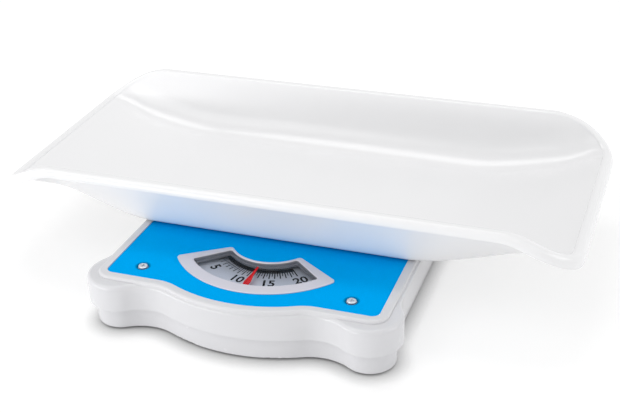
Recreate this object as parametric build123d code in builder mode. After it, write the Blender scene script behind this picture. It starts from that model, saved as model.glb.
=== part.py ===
from build123d import *
import math
import os

# Mechanical baby scale: a lever platform scale with a turning dial and a lift-off tray.
# Millimetres. +Z is up, the floor is z = 0, +X runs along the tray and the dial faces -Y.
# The origin is the middle of the whole object's box, on the floor.

# Platform cover and its wavy outline
platform_width = 281.0          # across the straight flanks
platform_depth = 330.0          # from front bulge to rear bulge
mat_top = 52.0                  # weighing surface above the floor
lobe_inset_x = 20.5             # lobe centre inwards from the flank
lobe_inset_y = 35.5             # lobe centre inwards from the bulge's front
lobe_radius = 30.0
bulge_radius = 155.0
valley_radius = 40.0            # hollow between bulge and lobe
flank_radius = 40.0             # hollow between lobe and straight flank
skirt_bottom = 24.0             # lower edge of the cover above the floor
cover_wall = 2.5
plateau_rise = 0.8              # plateau rim above the mat
shelf_drop = 3.0                # lobe shelf below the plateau rim
shelf_round = 3.6
plateau_round = 2.2

# Mat in the plateau's recess
mat_side_margin = 10.5          # mat inwards from the cover's flank
mat_end_margin = 9.7            # mat's bulge inwards from the cover's bulge
mat_flat_setback = 16.8         # straight stretches behind the mat's bulge
mat_bulge_radius = 135.0
mat_valley_radius = 45.0
mat_corner = 7.0
mat_thickness = 1.5
mat_gap = 0.3                   # between the mat and the recess wall
plateau_margin = 8.5            # plateau rim outside the mat

# Dial and window
dial_setback = 39.5             # dial axis in front of the platform's middle
dial_radius = 86.0
dial_thickness = 1.0
dial_drop = 8.0                 # dial face below the mat
window_setfront = 2.0           # middle of the window's arcs in front of the dial axis
bezel_outer = 94.6
bezel_inner = 40.7
bezel_half_angle = 56.0
bezel_corner = 4.0
bezel_rise = 1.2                # bezel above the mat
bezel_flange = 1.8
bezel_bevel = 0.5               # on the inner top edge
opening_outer = 81.7
opening_inner = 43.2
opening_half_angle = 49.0
opening_corner = 2.5
bezel_wall = 1.6
window_gap = 0.3                # between the bezel's skirt and the cover
lens_thickness = 1.6
lens_drop = 2.1                 # lens below the bezel's top
lens_gap = 0.1
pointer_end = 78.8              # radius of the pointer's blunt end
pointer_end_width = 5.0
pointer_paddle = 73.0           # radius where the pointer is widest
pointer_paddle_width = 6.0
pointer_neck = 60.0
pointer_neck_width = 2.4
pointer_tip_width = 1.6
pointer_round = 0.8
pointer_thickness = 0.8

# Cover screws in their wells
screw_side_margin = 29.2        # screw inwards from the mat's sides
screw_end_margin = 18.7         # screw inwards from the mat's straight stretches
well_radius = 6.6               # dished well at the mat's top
well_floor_radius = 4.8
well_depth = 1.1
screw_head_radius = 4.4
screw_head_height = 2.2
screw_radius = 2.0
screw_length = 12.0
fit_gap = 0.05                  # radial, a shank or shaft in its hole

# Base shell, feet and chassis
base_inset = 6.0                # lobes and flanks set in from the cover
base_bulge_inset = 4.2          # bulges set in from the cover
base_wall = 2.5
base_floor = 2.5
base_clearance = 2.0            # base shell above the floor
base_edge_round = 1.6
base_overlap = 7.0              # base wall's reach up inside the cover's skirt
foot_radius = 11.0
foot_stem_radius = 3.0
foot_stem_height = 3.5
boss_radius = 5.0
boss_height = 4.0
boss_side_margin = 22.0         # bosses inwards from the chassis's edges
boss_end_margin = 44.0
chassis_thickness = 1.5
chassis_side_gap = 7.0          # chassis to the base shell's inner flank
chassis_end_gap = 22.3          # chassis to the base shell's inner bulge
chassis_window_width = 44.0
chassis_window_length = 76.0
chassis_window_inset = 41.0     # window's outer edge to the chassis's side
chassis_window_corner = 10.0
chassis_corner = 16.0
chassis_screw_radius = 1.6
chassis_screw_length = 6.5
chassis_screw_head = 3.2
chassis_screw_head_height = 1.8

# Levers
fulcrum_inset_x = 15.0          # fulcrum inwards from the lobe centre
fulcrum_inset_y = 4.5
fulcrum_height = 10.0           # knife pins above the chassis
load_arm = 20.0                 # fulcrum pin to load pin
lever_width = 12.0
lever_height = 8.0
lever_wall = 1.5
lever_head = 8.0                # lever past its fulcrum pin
lever_straight = 8.0            # straight stretch past the load pin
nose_x = 14.0
nose_reach = 25.0               # noses behind the dial axis
nose_tail = 5.0
stud_radius = 2.5
stud_drop = 3.0
pin_radius = 2.0
pin_length = 22.0
tongue_width = 8.0
tongue_thickness = 2.0
tongue_gap = 0.3                # tongue's button above the long lever
tongue_lift = 1.3               # tongue's underside above the long lever
tongue_button_radius = 1.6
tongue_overhang = 20.0
tongue_start = 13.0             # short channel's end before the crossing
ear_thickness = 1.5
ear_gap = 1.8                   # between a lever's side and an ear
ear_width = 10.0
ear_beyond_pin = 4.0
bracket_foot = 1.5
bracket_depth = 18.0

# Bell crank, rack and pinion
crank_setback = 50.0            # crank pivot behind the dial axis
crank_pivot_height = 5.0        # above the chassis
crank_arm_half_width = 20.0
crank_arm_overrun = 4.0         # arm past the noses
crank_plate = 2.0
crank_rise = 20.0               # pivot to rack pin
crank_upright_width = 10.0
crank_barrel_radius = 3.6
crank_barrel_half = 16.0
crank_window_setfront = 2.5     # chassis window's edge in front of the pivot
crank_pin_radius = 2.0
crank_ear_gap = 1.5
rack_pin_radius = 1.5
spring_rise = 9.0               # pivot to main spring
tooth_module = 0.75
pinion_teeth = 12
mesh_gap = 0.05
rack_teeth = 11
rack_width = 4.0
rack_thickness = 3.0
rack_side_gap = 0.4             # between the crank's upright and the rack
rack_front = 34.0               # rack's reach in front of the dial axis
rack_eye_height = 6.4
rack_eye_depth = 8.0
slot_side_gap = 0.12
slot_end_gap = 1.1
guide_setfront = 23.0           # rack guide in front of the dial axis
guide_width = 12.0
guide_depth = 7.0
guide_gap = 0.3

# Dial shaft and bridge
shaft_radius = 1.5
bush_radius = 4.0
bush_flange = 6.0
bush_flange_height = 1.2
pinion_height = 5.0
hub_radius = 9.0
hub_height = 1.8
cap_radius = 6.0
cap_height = 1.4
bridge_half_span = 38.0
bridge_width = 18.0
bridge_plate = 1.5
bridge_foot = 9.0
hub_gap = 0.3
bridge_screw_radius = 1.5
bridge_screw_head = 2.8
bridge_screw_head_height = 1.4
bridge_screw_length = 5.0

# Zero adjustment
zero_screw_radius = 3.0
zero_screw_height = 13.5        # zero screw's axis above the floor
yoke_from_wall = 50.3           # zero yoke in front of the rear wall
knob_radius = 8.0
knob_thickness = 9.0
knob_grooves = 20
knob_gap = 0.5
bush_wall = 2.0
bush_seat_gap = 0.3             # zero bush's flange off the curved rear wall
yoke_width = 16.0
yoke_depth = 6.0
yoke_travel = 3.0               # either way
yoke_rail_gap = 0.3
yoke_rail_width = 3.0
yoke_rail_height = 6.0
screw_beyond_yoke = 6.0
spring_outer = 6.0
spring_wire = 1.6
spring_hook_gap = 3.0
spring_hook_radius = 0.8

# Load frame and posts
frame_thickness = 1.5
frame_rail_width = 34.0
frame_side_gap = 12.0           # rails to the cover's inner flank
frame_end_gap = 19.5            # rails to the cover's inner bulge
rail_slot_length = 90.0
rail_slot_width = 14.0
frame_bar_width = 22.0
frame_dial_gap = 0.5            # middle bar behind the dial's edge
frame_bar_gap = 25.0            # between the bars
post_flange_length = 22.0
post_flange_width = 24.0

# Tray
tray_length = 580.0
tray_width = 280.0
tray_setback = 64.0             # tray's middle behind the platform's middle
tray_height = 61.0              # long rims above the mat
tray_end_drop = 31.0            # end rims below the long rims
tray_droop_start = 220.0        # where the rim starts to drop, from the middle
tray_corner = 48.0
tray_wall = 3.0
tray_floor_half_length = 150.0
tray_floor_half_width = 108.0
tray_lip = 4.0                  # rim outside the wall
tray_skirt = 8.0                # down-turned skirt
tray_skirt_wall = 2.4
tray_fillet = 24.0
tray_lip_round = 2.2
pad_height = 1.5
pad_radius = 9.0
pad_x_from_edge = 60.0          # pads inwards from the mat's sides
pad_y_from_edge = 16.5          # pads inwards from the mat's rear straight stretches

# Places worked out from the sizes above
lobe_x = platform_width / 2 - lobe_inset_x
lobe_y = platform_depth / 2 - lobe_inset_y
mat_width = platform_width - 2 * mat_side_margin
mat_depth = platform_depth - 2 * mat_end_margin
mat_flat_depth = mat_depth - 2 * mat_flat_setback
screw_x = mat_width / 2 - screw_side_margin
screw_y = mat_flat_depth / 2 - screw_end_margin
chassis_width = platform_width - 2 * (base_inset + base_wall + chassis_side_gap)
chassis_depth = platform_depth - 2 * (base_bulge_inset + base_wall + chassis_end_gap)
boss_x = chassis_width / 2 - boss_side_margin
boss_y = chassis_depth / 2 - boss_end_margin
frame_outer_x = platform_width / 2 - cover_wall - frame_side_gap
frame_length = platform_depth - 2 * (cover_wall + frame_end_gap)
pad_x = mat_width / 2 - pad_x_from_edge
pad_y = mat_flat_depth / 2 - tray_setback - pad_y_from_edge
platform_y = (platform_depth / 2 - tray_setback - tray_width / 2) / 2
tray_y = platform_y + tray_setback
dial_y = platform_y - dial_setback
window_y = dial_y - window_setfront
front_fulcrum_y = platform_y - lobe_y + fulcrum_inset_y
rear_fulcrum_y = platform_y + lobe_y - fulcrum_inset_y
fulcrum_x = lobe_x - fulcrum_inset_x
nose_y = dial_y + nose_reach
crank_y = dial_y + crank_setback
plateau_top = mat_top + plateau_rise
shelf_top = plateau_top - shelf_drop
recess_floor = mat_top - mat_thickness
roof_bottom = shelf_top - cover_wall
base_floor_top = base_clearance + base_floor
boss_top = base_floor_top + boss_height
chassis_top = boss_top + chassis_thickness
pin_z = chassis_top + fulcrum_height
lever_bottom = pin_z - lever_height / 2
lever_top = lever_bottom + lever_height
crank_z = chassis_top + crank_pivot_height
rack_z = crank_z + crank_rise
spring_z = crank_z + spring_rise
dial_face = mat_top - dial_drop
dial_bottom = dial_face - dial_thickness
hub_bottom = dial_bottom - hub_height
bridge_top = hub_bottom - hub_gap - bush_flange_height
frame_top = roof_bottom
frame_bottom = frame_top - frame_thickness
pitch_radius = tooth_module * pinion_teeth / 2
rim_top = mat_top + tray_height
tray_bottom = mat_top + pad_height


def unit(x, y):
    """Unit vector along (x, y)."""
    length = math.hypot(x, y)
    return x / length, y / length


def minor_arc(centre, start, end):
    """The shorter arc about centre from start to end."""
    radius = math.hypot(start[0] - centre[0], start[1] - centre[1])
    middle = unit(start[0] + end[0] - 2 * centre[0], start[1] + end[1] - 2 * centre[1])
    through = (centre[0] + radius * middle[0], centre[1] + radius * middle[1])
    return ThreePointArc(start, through, end)


def towards(centre, other, distance):
    """The point at a distance from centre on the way to other."""
    step = unit(other[0] - centre[0], other[1] - centre[1])
    return centre[0] + distance * step[0], centre[1] + distance * step[1]


def meeting_point(centre_a, reach_a, centre_b, reach_b):
    """The lower point at reach_a from centre_a and reach_b from centre_b."""
    across = unit(centre_b[0] - centre_a[0], centre_b[1] - centre_a[1])
    apart = math.hypot(centre_b[0] - centre_a[0], centre_b[1] - centre_a[1])
    along = (reach_a**2 - reach_b**2 + apart**2) / (2 * apart)
    aside = math.sqrt(reach_a**2 - along**2)
    x = centre_a[0] + along * across[0] + aside * across[1]
    y = centre_a[1] + along * across[1] - aside * across[0]
    return x, y


def mirrored_face(quarter, y_middle):
    """Face bounded by four mirrored copies of a quarter outline about (0, y_middle)."""
    with BuildSketch() as face:
        with BuildLine():
            for sign_x in (1, -1):
                for sign_y in (1, -1):
                    for kind, *points in quarter:
                        turned = [(sign_x * x, y_middle + sign_y * y) for x, y in points]
                        if kind == "line":
                            Line(*turned)
                        else:
                            minor_arc(*turned)
        make_face()
    return face.sketch


def lobed_outline(inset, bulge_inset):
    """Plan of the platform with its four lobes, set in by inset and by bulge_inset at the bulges."""
    front = -platform_depth / 2 + bulge_inset
    bulge = (0.0, -platform_depth / 2 + bulge_radius)
    bulge_r = bulge_radius - bulge_inset
    lobe = (lobe_x, -lobe_y)
    lobe_r = lobe_radius - inset
    valley_r = valley_radius + inset
    flank_r = flank_radius + inset
    flank_x = platform_width / 2 - inset
    valley = meeting_point(bulge, bulge_r + valley_r, lobe, lobe_r + valley_r)
    across = flank_x + flank_r - lobe[0]
    flank = (flank_x + flank_r, lobe[1] + math.sqrt((lobe_r + flank_r) ** 2 - across**2))
    bulge_end = towards(bulge, valley, bulge_r)
    lobe_start = towards(lobe, valley, lobe_r)
    lobe_end = towards(lobe, flank, lobe_r)
    flank_end = (flank_x, flank[1])
    quarter = [
        ("arc", bulge, (0.0, front), bulge_end),
        ("arc", valley, bulge_end, lobe_start),
        ("arc", lobe, lobe_start, lobe_end),
        ("arc", flank, lobe_end, flank_end),
        ("line", flank_end, (flank_x, 0.0)),
    ]
    return mirrored_face(quarter, platform_y)


def panel_outline(grow):
    """Plan of the mat, or of the plateau around it, grown outwards by grow."""
    half_x = mat_width / 2 + grow
    flat_y = -mat_flat_depth / 2 - grow
    corner_r = mat_corner + grow
    bulge_r = mat_bulge_radius + grow
    valley_r = mat_valley_radius - grow
    bulge = (0.0, -mat_depth / 2 + mat_bulge_radius)
    valley_y = flat_y - valley_r
    valley = (math.sqrt((bulge_r + valley_r) ** 2 - (bulge[1] - valley_y) ** 2), valley_y)
    bulge_end = towards(bulge, valley, bulge_r)
    corner = (half_x - corner_r, flat_y + corner_r)
    quarter = [
        ("arc", bulge, (0.0, bulge[1] - bulge_r), bulge_end),
        ("arc", valley, bulge_end, (valley[0], flat_y)),
        ("line", (valley[0], flat_y), (corner[0], flat_y)),
        ("arc", corner, (corner[0], flat_y), (half_x, corner[1])),
        ("line", (half_x, corner[1]), (half_x, 0.0)),
    ]
    return mirrored_face(quarter, platform_y)


def fan_outline(inner, outer, half_angle, corner):
    """Ring sector about the window's middle, open towards the front, with rounded corners."""
    turn = math.radians(half_angle)
    side = (math.sin(turn), -math.cos(turn))
    with BuildSketch() as fan:
        with BuildLine():
            ThreePointArc(
                (-outer * side[0], outer * side[1]), (0, -outer), (outer * side[0], outer * side[1])
            )
            ThreePointArc(
                (-inner * side[0], inner * side[1]), (0, -inner), (inner * side[0], inner * side[1])
            )
            for sign in (1, -1):
                Line(
                    (sign * inner * side[0], inner * side[1]),
                    (sign * outer * side[0], outer * side[1]),
                )
        make_face()
        fillet(fan.vertices(), corner)
    return Pos(0, window_y) * fan.sketch


def corner_points(half_x, half_y, y_middle):
    """The four points at (half_x, half_y) either side of (0, y_middle)."""
    return [(sx * half_x, y_middle + sy * half_y) for sx in (-1, 1) for sy in (-1, 1)]


def rim_region(depth):
    """Side view of the region between the rim's line and the same line depth lower."""
    half = tray_length / 2
    run = half - tray_droop_start
    radius = (run**2 + tray_end_drop**2) / (2 * tray_end_drop)
    half_turn = math.asin(run / radius) / 2
    fall = radius * (1 - math.cos(half_turn))
    middle_x = tray_droop_start + radius * math.sin(half_turn)
    with BuildSketch(Plane.XZ.offset(-tray_y)) as band:
        with BuildLine():
            for top in (rim_top, rim_top - depth):
                Line((-tray_droop_start, top), (tray_droop_start, top))
                for sign in (1, -1):
                    ThreePointArc(
                        (sign * tray_droop_start, top),
                        (sign * middle_x, top - fall),
                        (sign * half, top - tray_end_drop),
                    )
            for sign in (1, -1):
                end = rim_top - tray_end_drop
                Line((sign * half, end), (sign * half, end - depth))
        make_face()
    return band.sketch


def scoop(wall_inset):
    """Solid scoop: a long rising floor crossed with a trough, its crease rounded."""
    end_height = rim_top - tray_end_drop - tray_wall
    floor_z = tray_bottom + wall_inset
    half = tray_length / 2
    run = half - tray_floor_half_length
    rise = end_height - tray_bottom
    radius = (run**2 + rise**2) / (2 * rise)
    half_turn = math.asin(run / radius) / 2
    lift = radius * (1 - math.cos(half_turn))
    middle_x = tray_floor_half_length + radius * math.sin(half_turn)
    ceiling = rim_top + tray_wall
    lean = (tray_width / 2 - tray_lip - tray_floor_half_width) / (rim_top - tray_bottom)
    aside = wall_inset * math.hypot(1, lean)
    floor_y = tray_floor_half_width - aside + lean * wall_inset
    ceiling_y = floor_y + lean * (ceiling - floor_z)
    with BuildPart() as body:
        with BuildSketch(Plane.XZ.offset(-tray_y)):
            with BuildLine():
                Line((-tray_floor_half_length, floor_z), (tray_floor_half_length, floor_z))
                for sign in (1, -1):
                    ThreePointArc(
                        (sign * tray_floor_half_length, floor_z),
                        (sign * middle_x, floor_z + lift),
                        (sign * half, floor_z + rise),
                    )
                    Line((sign * half, floor_z + rise), (sign * half, ceiling))
                Line((-half, ceiling), (half, ceiling))
            make_face()
        extrude(amount=tray_width, both=True)
        with BuildSketch(Plane.YZ):
            Polygon(
                (tray_y - floor_y, floor_z),
                (tray_y + floor_y, floor_z),
                (tray_y + ceiling_y, ceiling),
                (tray_y - ceiling_y, ceiling),
                align=None,
            )
        extrude(amount=half, both=True, mode=Mode.INTERSECT)
        creases = [
            edge
            for edge in body.edges()
            if edge.center().Z < ceiling - 1 and abs(edge.center().X) < half - 1
            and abs(edge.center().Y - tray_y) > floor_y / 2
        ]
        fillet(creases, tray_fillet - wall_inset)
    return body.part


def tray_plan(inset):
    """Plan of the tray's rim, set in by inset."""
    with BuildSketch() as plan:
        with Locations((0, tray_y)):
            RectangleRounded(
                tray_length - 2 * inset, tray_width - 2 * inset, tray_corner - inset
            )
    return plan.sketch


# Platform cover: lobed skirt with a lower shelf, plateau, mat recess and window hole
bezel_skirt_outline = fan_outline(
    opening_inner - bezel_wall,
    opening_outer + bezel_wall,
    opening_half_angle + math.degrees(bezel_wall / opening_outer),
    opening_corner + bezel_wall,
)
window_hole = fan_outline(
    opening_inner - bezel_wall - window_gap,
    opening_outer + bezel_wall + window_gap,
    opening_half_angle + math.degrees((bezel_wall + window_gap) / opening_outer),
    opening_corner + bezel_wall + window_gap,
)
window_opening = fan_outline(opening_inner, opening_outer, opening_half_angle, opening_corner)
bezel_plan = fan_outline(bezel_inner, bezel_outer, bezel_half_angle, bezel_corner)
screw_points = corner_points(screw_x, screw_y, platform_y)

with BuildPart() as platform_cover:
    with BuildSketch(Plane.XY.offset(skirt_bottom)):
        add(lobed_outline(0, 0))
    extrude(amount=shelf_top - skirt_bottom)
    fillet(platform_cover.faces().sort_by(Axis.Z)[-1].edges(), shelf_round)
    with BuildSketch(Plane.XY.offset(skirt_bottom)):
        add(panel_outline(plateau_margin))
    extrude(amount=plateau_top - skirt_bottom)
    fillet(platform_cover.faces().sort_by(Axis.Z)[-1].edges(), plateau_round)
    with BuildSketch(Plane.XY.offset(skirt_bottom)):
        add(lobed_outline(cover_wall, cover_wall))
    extrude(amount=roof_bottom - skirt_bottom, mode=Mode.SUBTRACT)
    with BuildSketch(Plane.XY.offset(recess_floor)):
        add(panel_outline(mat_gap))
    extrude(amount=plateau_top - recess_floor, mode=Mode.SUBTRACT)
    with BuildSketch(Plane.XY.offset(roof_bottom)):
        add(window_hole)
    extrude(amount=plateau_top - roof_bottom, mode=Mode.SUBTRACT)
    with BuildSketch(Plane.XY.offset(roof_bottom)):
        with Locations(*screw_points):
            Circle(screw_radius + fit_gap)
    extrude(amount=plateau_top - roof_bottom, mode=Mode.SUBTRACT)
platform_cover.part.label = "platform_cover"

# Top mat, cut round the window and dished round the screws
well_taper = math.degrees(math.atan((well_radius - well_floor_radius) / well_depth))
with BuildPart() as top_mat:
    with BuildSketch(Plane.XY.offset(recess_floor)):
        add(panel_outline(0))
        add(window_hole, mode=Mode.SUBTRACT)
        with Locations(*screw_points):
            Circle(well_floor_radius, mode=Mode.SUBTRACT)
    extrude(amount=mat_thickness)
    with BuildSketch(Plane.XY.offset(mat_top)):
        with Locations(*screw_points):
            Circle(well_radius)
    extrude(amount=-well_depth, taper=well_taper, mode=Mode.SUBTRACT)
top_mat.part.label = "top_mat"

# Window bezel: flange on the mat, skirt through the cover, ledge for the lens
bezel_top = mat_top + bezel_rise
lens_top = bezel_top - lens_drop
lens_bottom = lens_top - lens_thickness
with BuildPart() as window_bezel:
    with BuildSketch(Plane.XY.offset(mat_top)):
        add(bezel_plan)
    extrude(amount=bezel_rise)
    fillet(window_bezel.faces().sort_by(Axis.Z)[-1].edges(), bezel_rise * 0.6)
    with BuildSketch(Plane.XY.offset(roof_bottom)):
        add(bezel_skirt_outline)
    extrude(amount=mat_top - roof_bottom)
    with BuildSketch(Plane.XY.offset(roof_bottom)):
        add(window_opening)
    extrude(amount=bezel_top - roof_bottom, mode=Mode.SUBTRACT)
    top_face = window_bezel.faces().sort_by(Axis.Z)[-1]
    chamfer(top_face.inner_wires()[0].edges(), bezel_bevel)
    with BuildSketch(Plane.XY.offset(lens_bottom - bezel_flange)):
        add(window_opening)
        add(
            fan_outline(
                opening_inner + bezel_wall,
                opening_outer - bezel_wall,
                opening_half_angle - math.degrees(bezel_wall / opening_outer),
                opening_corner,
            ),
            mode=Mode.SUBTRACT,
        )
    extrude(amount=bezel_flange)
window_bezel.part.label = "window_bezel"

# Window lens, dropped into the bezel onto its ledge
with BuildPart() as window_lens:
    with BuildSketch(Plane.XY.offset(lens_bottom)):
        add(
            fan_outline(
                opening_inner + lens_gap,
                opening_outer - lens_gap,
                opening_half_angle - math.degrees(lens_gap / opening_inner),
                opening_corner,
            )
        )
    extrude(amount=lens_thickness)
window_lens.part.label = "window_lens"

# Fixed pointer, stuck below the lens
pointer_tip_y = window_y - opening_inner - bezel_wall - lens_gap
with BuildPart() as pointer:
    with BuildSketch(Plane.XY.offset(lens_bottom - pointer_thickness)) as arrow:
        Polygon(
            (-pointer_tip_width / 2, pointer_tip_y),
            (-pointer_neck_width / 2, dial_y - pointer_neck),
            (-pointer_paddle_width / 2, dial_y - pointer_paddle),
            (-pointer_end_width / 2, dial_y - pointer_end),
            (pointer_end_width / 2, dial_y - pointer_end),
            (pointer_paddle_width / 2, dial_y - pointer_paddle),
            (pointer_neck_width / 2, dial_y - pointer_neck),
            (pointer_tip_width / 2, pointer_tip_y),
            align=None,
        )
        fillet(arrow.vertices().group_by(Axis.Y)[0], pointer_round)
    extrude(amount=pointer_thickness)
pointer.part.label = "pointer"

# Cover screws, heads in the mat's wells and shanks through the cover and the load frame
with BuildPart() as cover_screws:
    with BuildSketch(Plane.XY.offset(recess_floor)):
        with Locations(*screw_points):
            Circle(screw_head_radius)
    extrude(amount=screw_head_height)
    fillet(cover_screws.faces().group_by(Axis.Z)[-1].edges(), screw_head_height * 0.4)
    with BuildSketch(Plane.XY.offset(recess_floor - screw_length)):
        with Locations(*screw_points):
            Circle(screw_radius)
    extrude(amount=screw_length)
    with BuildSketch(Plane.XY.offset(recess_floor + screw_head_height)):
        with Locations(*screw_points):
            Rectangle(screw_head_radius * 1.2, 0.8)
            Rectangle(0.8, screw_head_radius * 1.2)
    extrude(amount=-1.0, mode=Mode.SUBTRACT)
cover_screws.part.label = "cover_screws"

# Load frame: two rails and two cross bars pressed from sheet
rail_centre = frame_outer_x - frame_rail_width / 2
middle_bar_y = dial_y + dial_radius + frame_dial_gap + frame_bar_width / 2
rear_bar_y = middle_bar_y + frame_bar_width + frame_bar_gap
with BuildPart() as load_frame:
    with BuildSketch(Plane.XY.offset(frame_bottom)):
        with Locations((-rail_centre, platform_y), (rail_centre, platform_y)):
            RectangleRounded(frame_rail_width, frame_length, 8)
        with Locations((0, middle_bar_y), (0, rear_bar_y)):
            Rectangle(2 * rail_centre, frame_bar_width)
        with Locations(*screw_points):
            Circle(screw_radius + fit_gap, mode=Mode.SUBTRACT)
        with Locations((-rail_centre, platform_y), (rail_centre, platform_y)):
            SlotOverall(rail_slot_length, rail_slot_width, rotation=90, mode=Mode.SUBTRACT)
    extrude(amount=frame_thickness)
load_frame.part.label = "load_frame"


def eared_post(x, y, top, flange_z, slot_up):
    """Bracket with two ears about a pin at (x, y): slots open upwards or downwards."""
    inner = lever_width / 2 + ear_gap
    slot_radius = pin_radius + fit_gap
    low = flange_z if slot_up else pin_z - ear_beyond_pin
    high = pin_z + ear_beyond_pin if slot_up else flange_z
    with BuildPart() as post:
        with BuildSketch(Plane.XY.offset(low)):
            for sign in (1, -1):
                with Locations((x + sign * (inner + ear_thickness / 2), y)):
                    Rectangle(ear_thickness, ear_width)
        extrude(amount=high - low)
        with BuildSketch(Plane.XY.offset(flange_z if slot_up else flange_z - bracket_foot)):
            with Locations((x, y)):
                Rectangle(2 * (inner + ear_thickness), top)
        extrude(amount=bracket_foot)
        with Locations((x, y, pin_z)):
            Cylinder(slot_radius, 4 * inner, rotation=(0, 90, 0), mode=Mode.SUBTRACT)
        reach = ear_beyond_pin + 1
        with Locations((x, y, pin_z + (reach / 2 if slot_up else -reach / 2))):
            Box(4 * inner, 2 * slot_radius, reach, mode=Mode.SUBTRACT)
    return post.part


# Load posts: hang from the load frame and stand on the levers' load pins
load_pin_points = [
    (sign * fulcrum_x, y)
    for sign in (-1, 1)
    for y in (front_fulcrum_y + load_arm, rear_fulcrum_y - load_arm)
]
with BuildPart() as load_posts:
    for x, y in load_pin_points:
        add(eared_post(x, y, post_flange_length, frame_bottom, False))
load_posts.part.label = "load_posts"

# Fulcrum brackets: stand on the chassis and carry the levers' fulcrum pins
fulcrum_points = [(sign * fulcrum_x, y) for sign in (-1, 1) for y in (front_fulcrum_y, rear_fulcrum_y)]
with BuildPart() as fulcrum_brackets:
    for x, y in fulcrum_points:
        add(eared_post(x, y, bracket_depth, chassis_top, True))
fulcrum_brackets.part.label = "fulcrum_brackets"

# Base shell: wavy wall, floor, screw bosses, foot holes and the zero screw's hole
boss_points = corner_points(boss_x, boss_y, platform_y)
boss_points += corner_points(boss_x, 0, platform_y)[::2]
foot_points = corner_points(lobe_x, lobe_y, platform_y)
base_wall_top = skirt_bottom + base_overlap
base_rear = platform_y + platform_depth / 2 - base_bulge_inset
with BuildPart() as base_shell:
    with BuildSketch(Plane.XY.offset(base_clearance)):
        add(lobed_outline(base_inset, base_bulge_inset))
    extrude(amount=base_wall_top - base_clearance)
    fillet(base_shell.faces().sort_by(Axis.Z)[0].edges(), base_edge_round)
    with BuildSketch(Plane.XY.offset(base_floor_top)):
        add(lobed_outline(base_inset + base_wall, base_bulge_inset + base_wall))
    extrude(amount=base_wall_top - base_floor_top, mode=Mode.SUBTRACT)
    with BuildSketch(Plane.XY.offset(base_floor_top)):
        with Locations(*boss_points):
            Circle(boss_radius)
    extrude(amount=boss_height)
    with BuildSketch(Plane.XY.offset(boss_top - chassis_screw_length + chassis_thickness)):
        with Locations(*boss_points):
            Circle(chassis_screw_radius + fit_gap)
    extrude(amount=chassis_screw_length, mode=Mode.SUBTRACT)
    with BuildSketch(Plane.XY.offset(base_clearance)):
        with Locations(*foot_points):
            Circle(foot_stem_radius + fit_gap)
    extrude(amount=base_floor, mode=Mode.SUBTRACT)
    with BuildSketch(Plane.XZ.offset(-base_rear - 1)):
        with Locations((0, zero_screw_height)):
            Circle(zero_screw_radius + bush_wall + fit_gap)
    extrude(amount=base_wall + 3, mode=Mode.SUBTRACT)
base_shell.part.label = "base_shell"

# Rubber feet under the lobes, stems through the floor
with BuildPart() as rubber_feet:
    with BuildSketch():
        with Locations(*foot_points):
            Circle(foot_radius)
    extrude(amount=base_clearance)
    with BuildSketch(Plane.XY.offset(base_clearance)):
        with Locations(*foot_points):
            Circle(foot_stem_radius)
    extrude(amount=foot_stem_height)
rubber_feet.part.label = "rubber_feet"

# Chassis plate with its windows, and the screws that hold it on the bosses
with BuildPart() as chassis_plate:
    with BuildSketch(Plane.XY.offset(boss_top)):
        with Locations((0, platform_y)):
            RectangleRounded(chassis_width, chassis_depth, chassis_corner)
        with Locations(*boss_points):
            Circle(chassis_screw_radius + fit_gap, mode=Mode.SUBTRACT)
        with Locations((0, dial_y)):
            Circle(bush_radius + fit_gap, mode=Mode.SUBTRACT)
        with Locations((0, nose_y - 1)):
            RectangleRounded(2 * crank_arm_half_width + 6, 28, 3, mode=Mode.SUBTRACT)
        with Locations((0, crank_y - crank_window_setfront)):
            Rectangle(
                2 * crank_barrel_half - 1,
                crank_setback - nose_reach,
                align=(Align.CENTER, Align.MAX),
                mode=Mode.SUBTRACT,
            )
        window_x = chassis_width / 2 - chassis_window_inset - chassis_window_width / 2
        window_y = (nose_y + rear_fulcrum_y) / 2 + crank_setback - nose_reach
        with Locations((-window_x, window_y), (window_x, window_y)):
            RectangleRounded(
                chassis_window_width,
                chassis_window_length,
                chassis_window_corner,
                mode=Mode.SUBTRACT,
            )
    extrude(amount=chassis_thickness)
chassis_plate.part.label = "chassis_plate"

with BuildPart() as chassis_screws:
    with BuildSketch(Plane.XY.offset(chassis_top)):
        with Locations(*boss_points):
            Circle(chassis_screw_head)
    extrude(amount=chassis_screw_head_height)
    with BuildSketch(Plane.XY.offset(chassis_top)):
        with Locations(*boss_points):
            Circle(chassis_screw_radius)
    extrude(amount=-chassis_screw_length + 0.5)
chassis_screws.part.label = "chassis_screws"

# Levers: channels open below, long ones to the noses, short ones on top of them
crossing_y = platform_y
long_knee_y = rear_fulcrum_y - load_arm - lever_straight
long_end_y = nose_y + nose_tail
crossing_share = (crossing_y - long_end_y) / (long_knee_y - long_end_y)
crossing_x = nose_x + crossing_share * (fulcrum_x - nose_x)
short_knee_y = front_fulcrum_y + load_arm + lever_straight
short_way = unit(crossing_x - fulcrum_x, crossing_y - short_knee_y)
short_end = (crossing_x - tongue_start * short_way[0], crossing_y - tongue_start * short_way[1])


def channel(path_points):
    """Inverted channel along a plan polyline."""
    with BuildPart() as lever:
        with BuildSketch(Plane.XY.offset(lever_bottom)):
            with BuildLine():
                Polyline(*path_points)
            trace(line_width=lever_width)
        extrude(amount=lever_height)
        with BuildSketch(Plane.XY.offset(lever_bottom)):
            with BuildLine():
                Polyline(*path_points)
            trace(line_width=lever_width - 2 * lever_wall)
        extrude(amount=lever_height - lever_wall, mode=Mode.SUBTRACT)
    return lever.part


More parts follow.
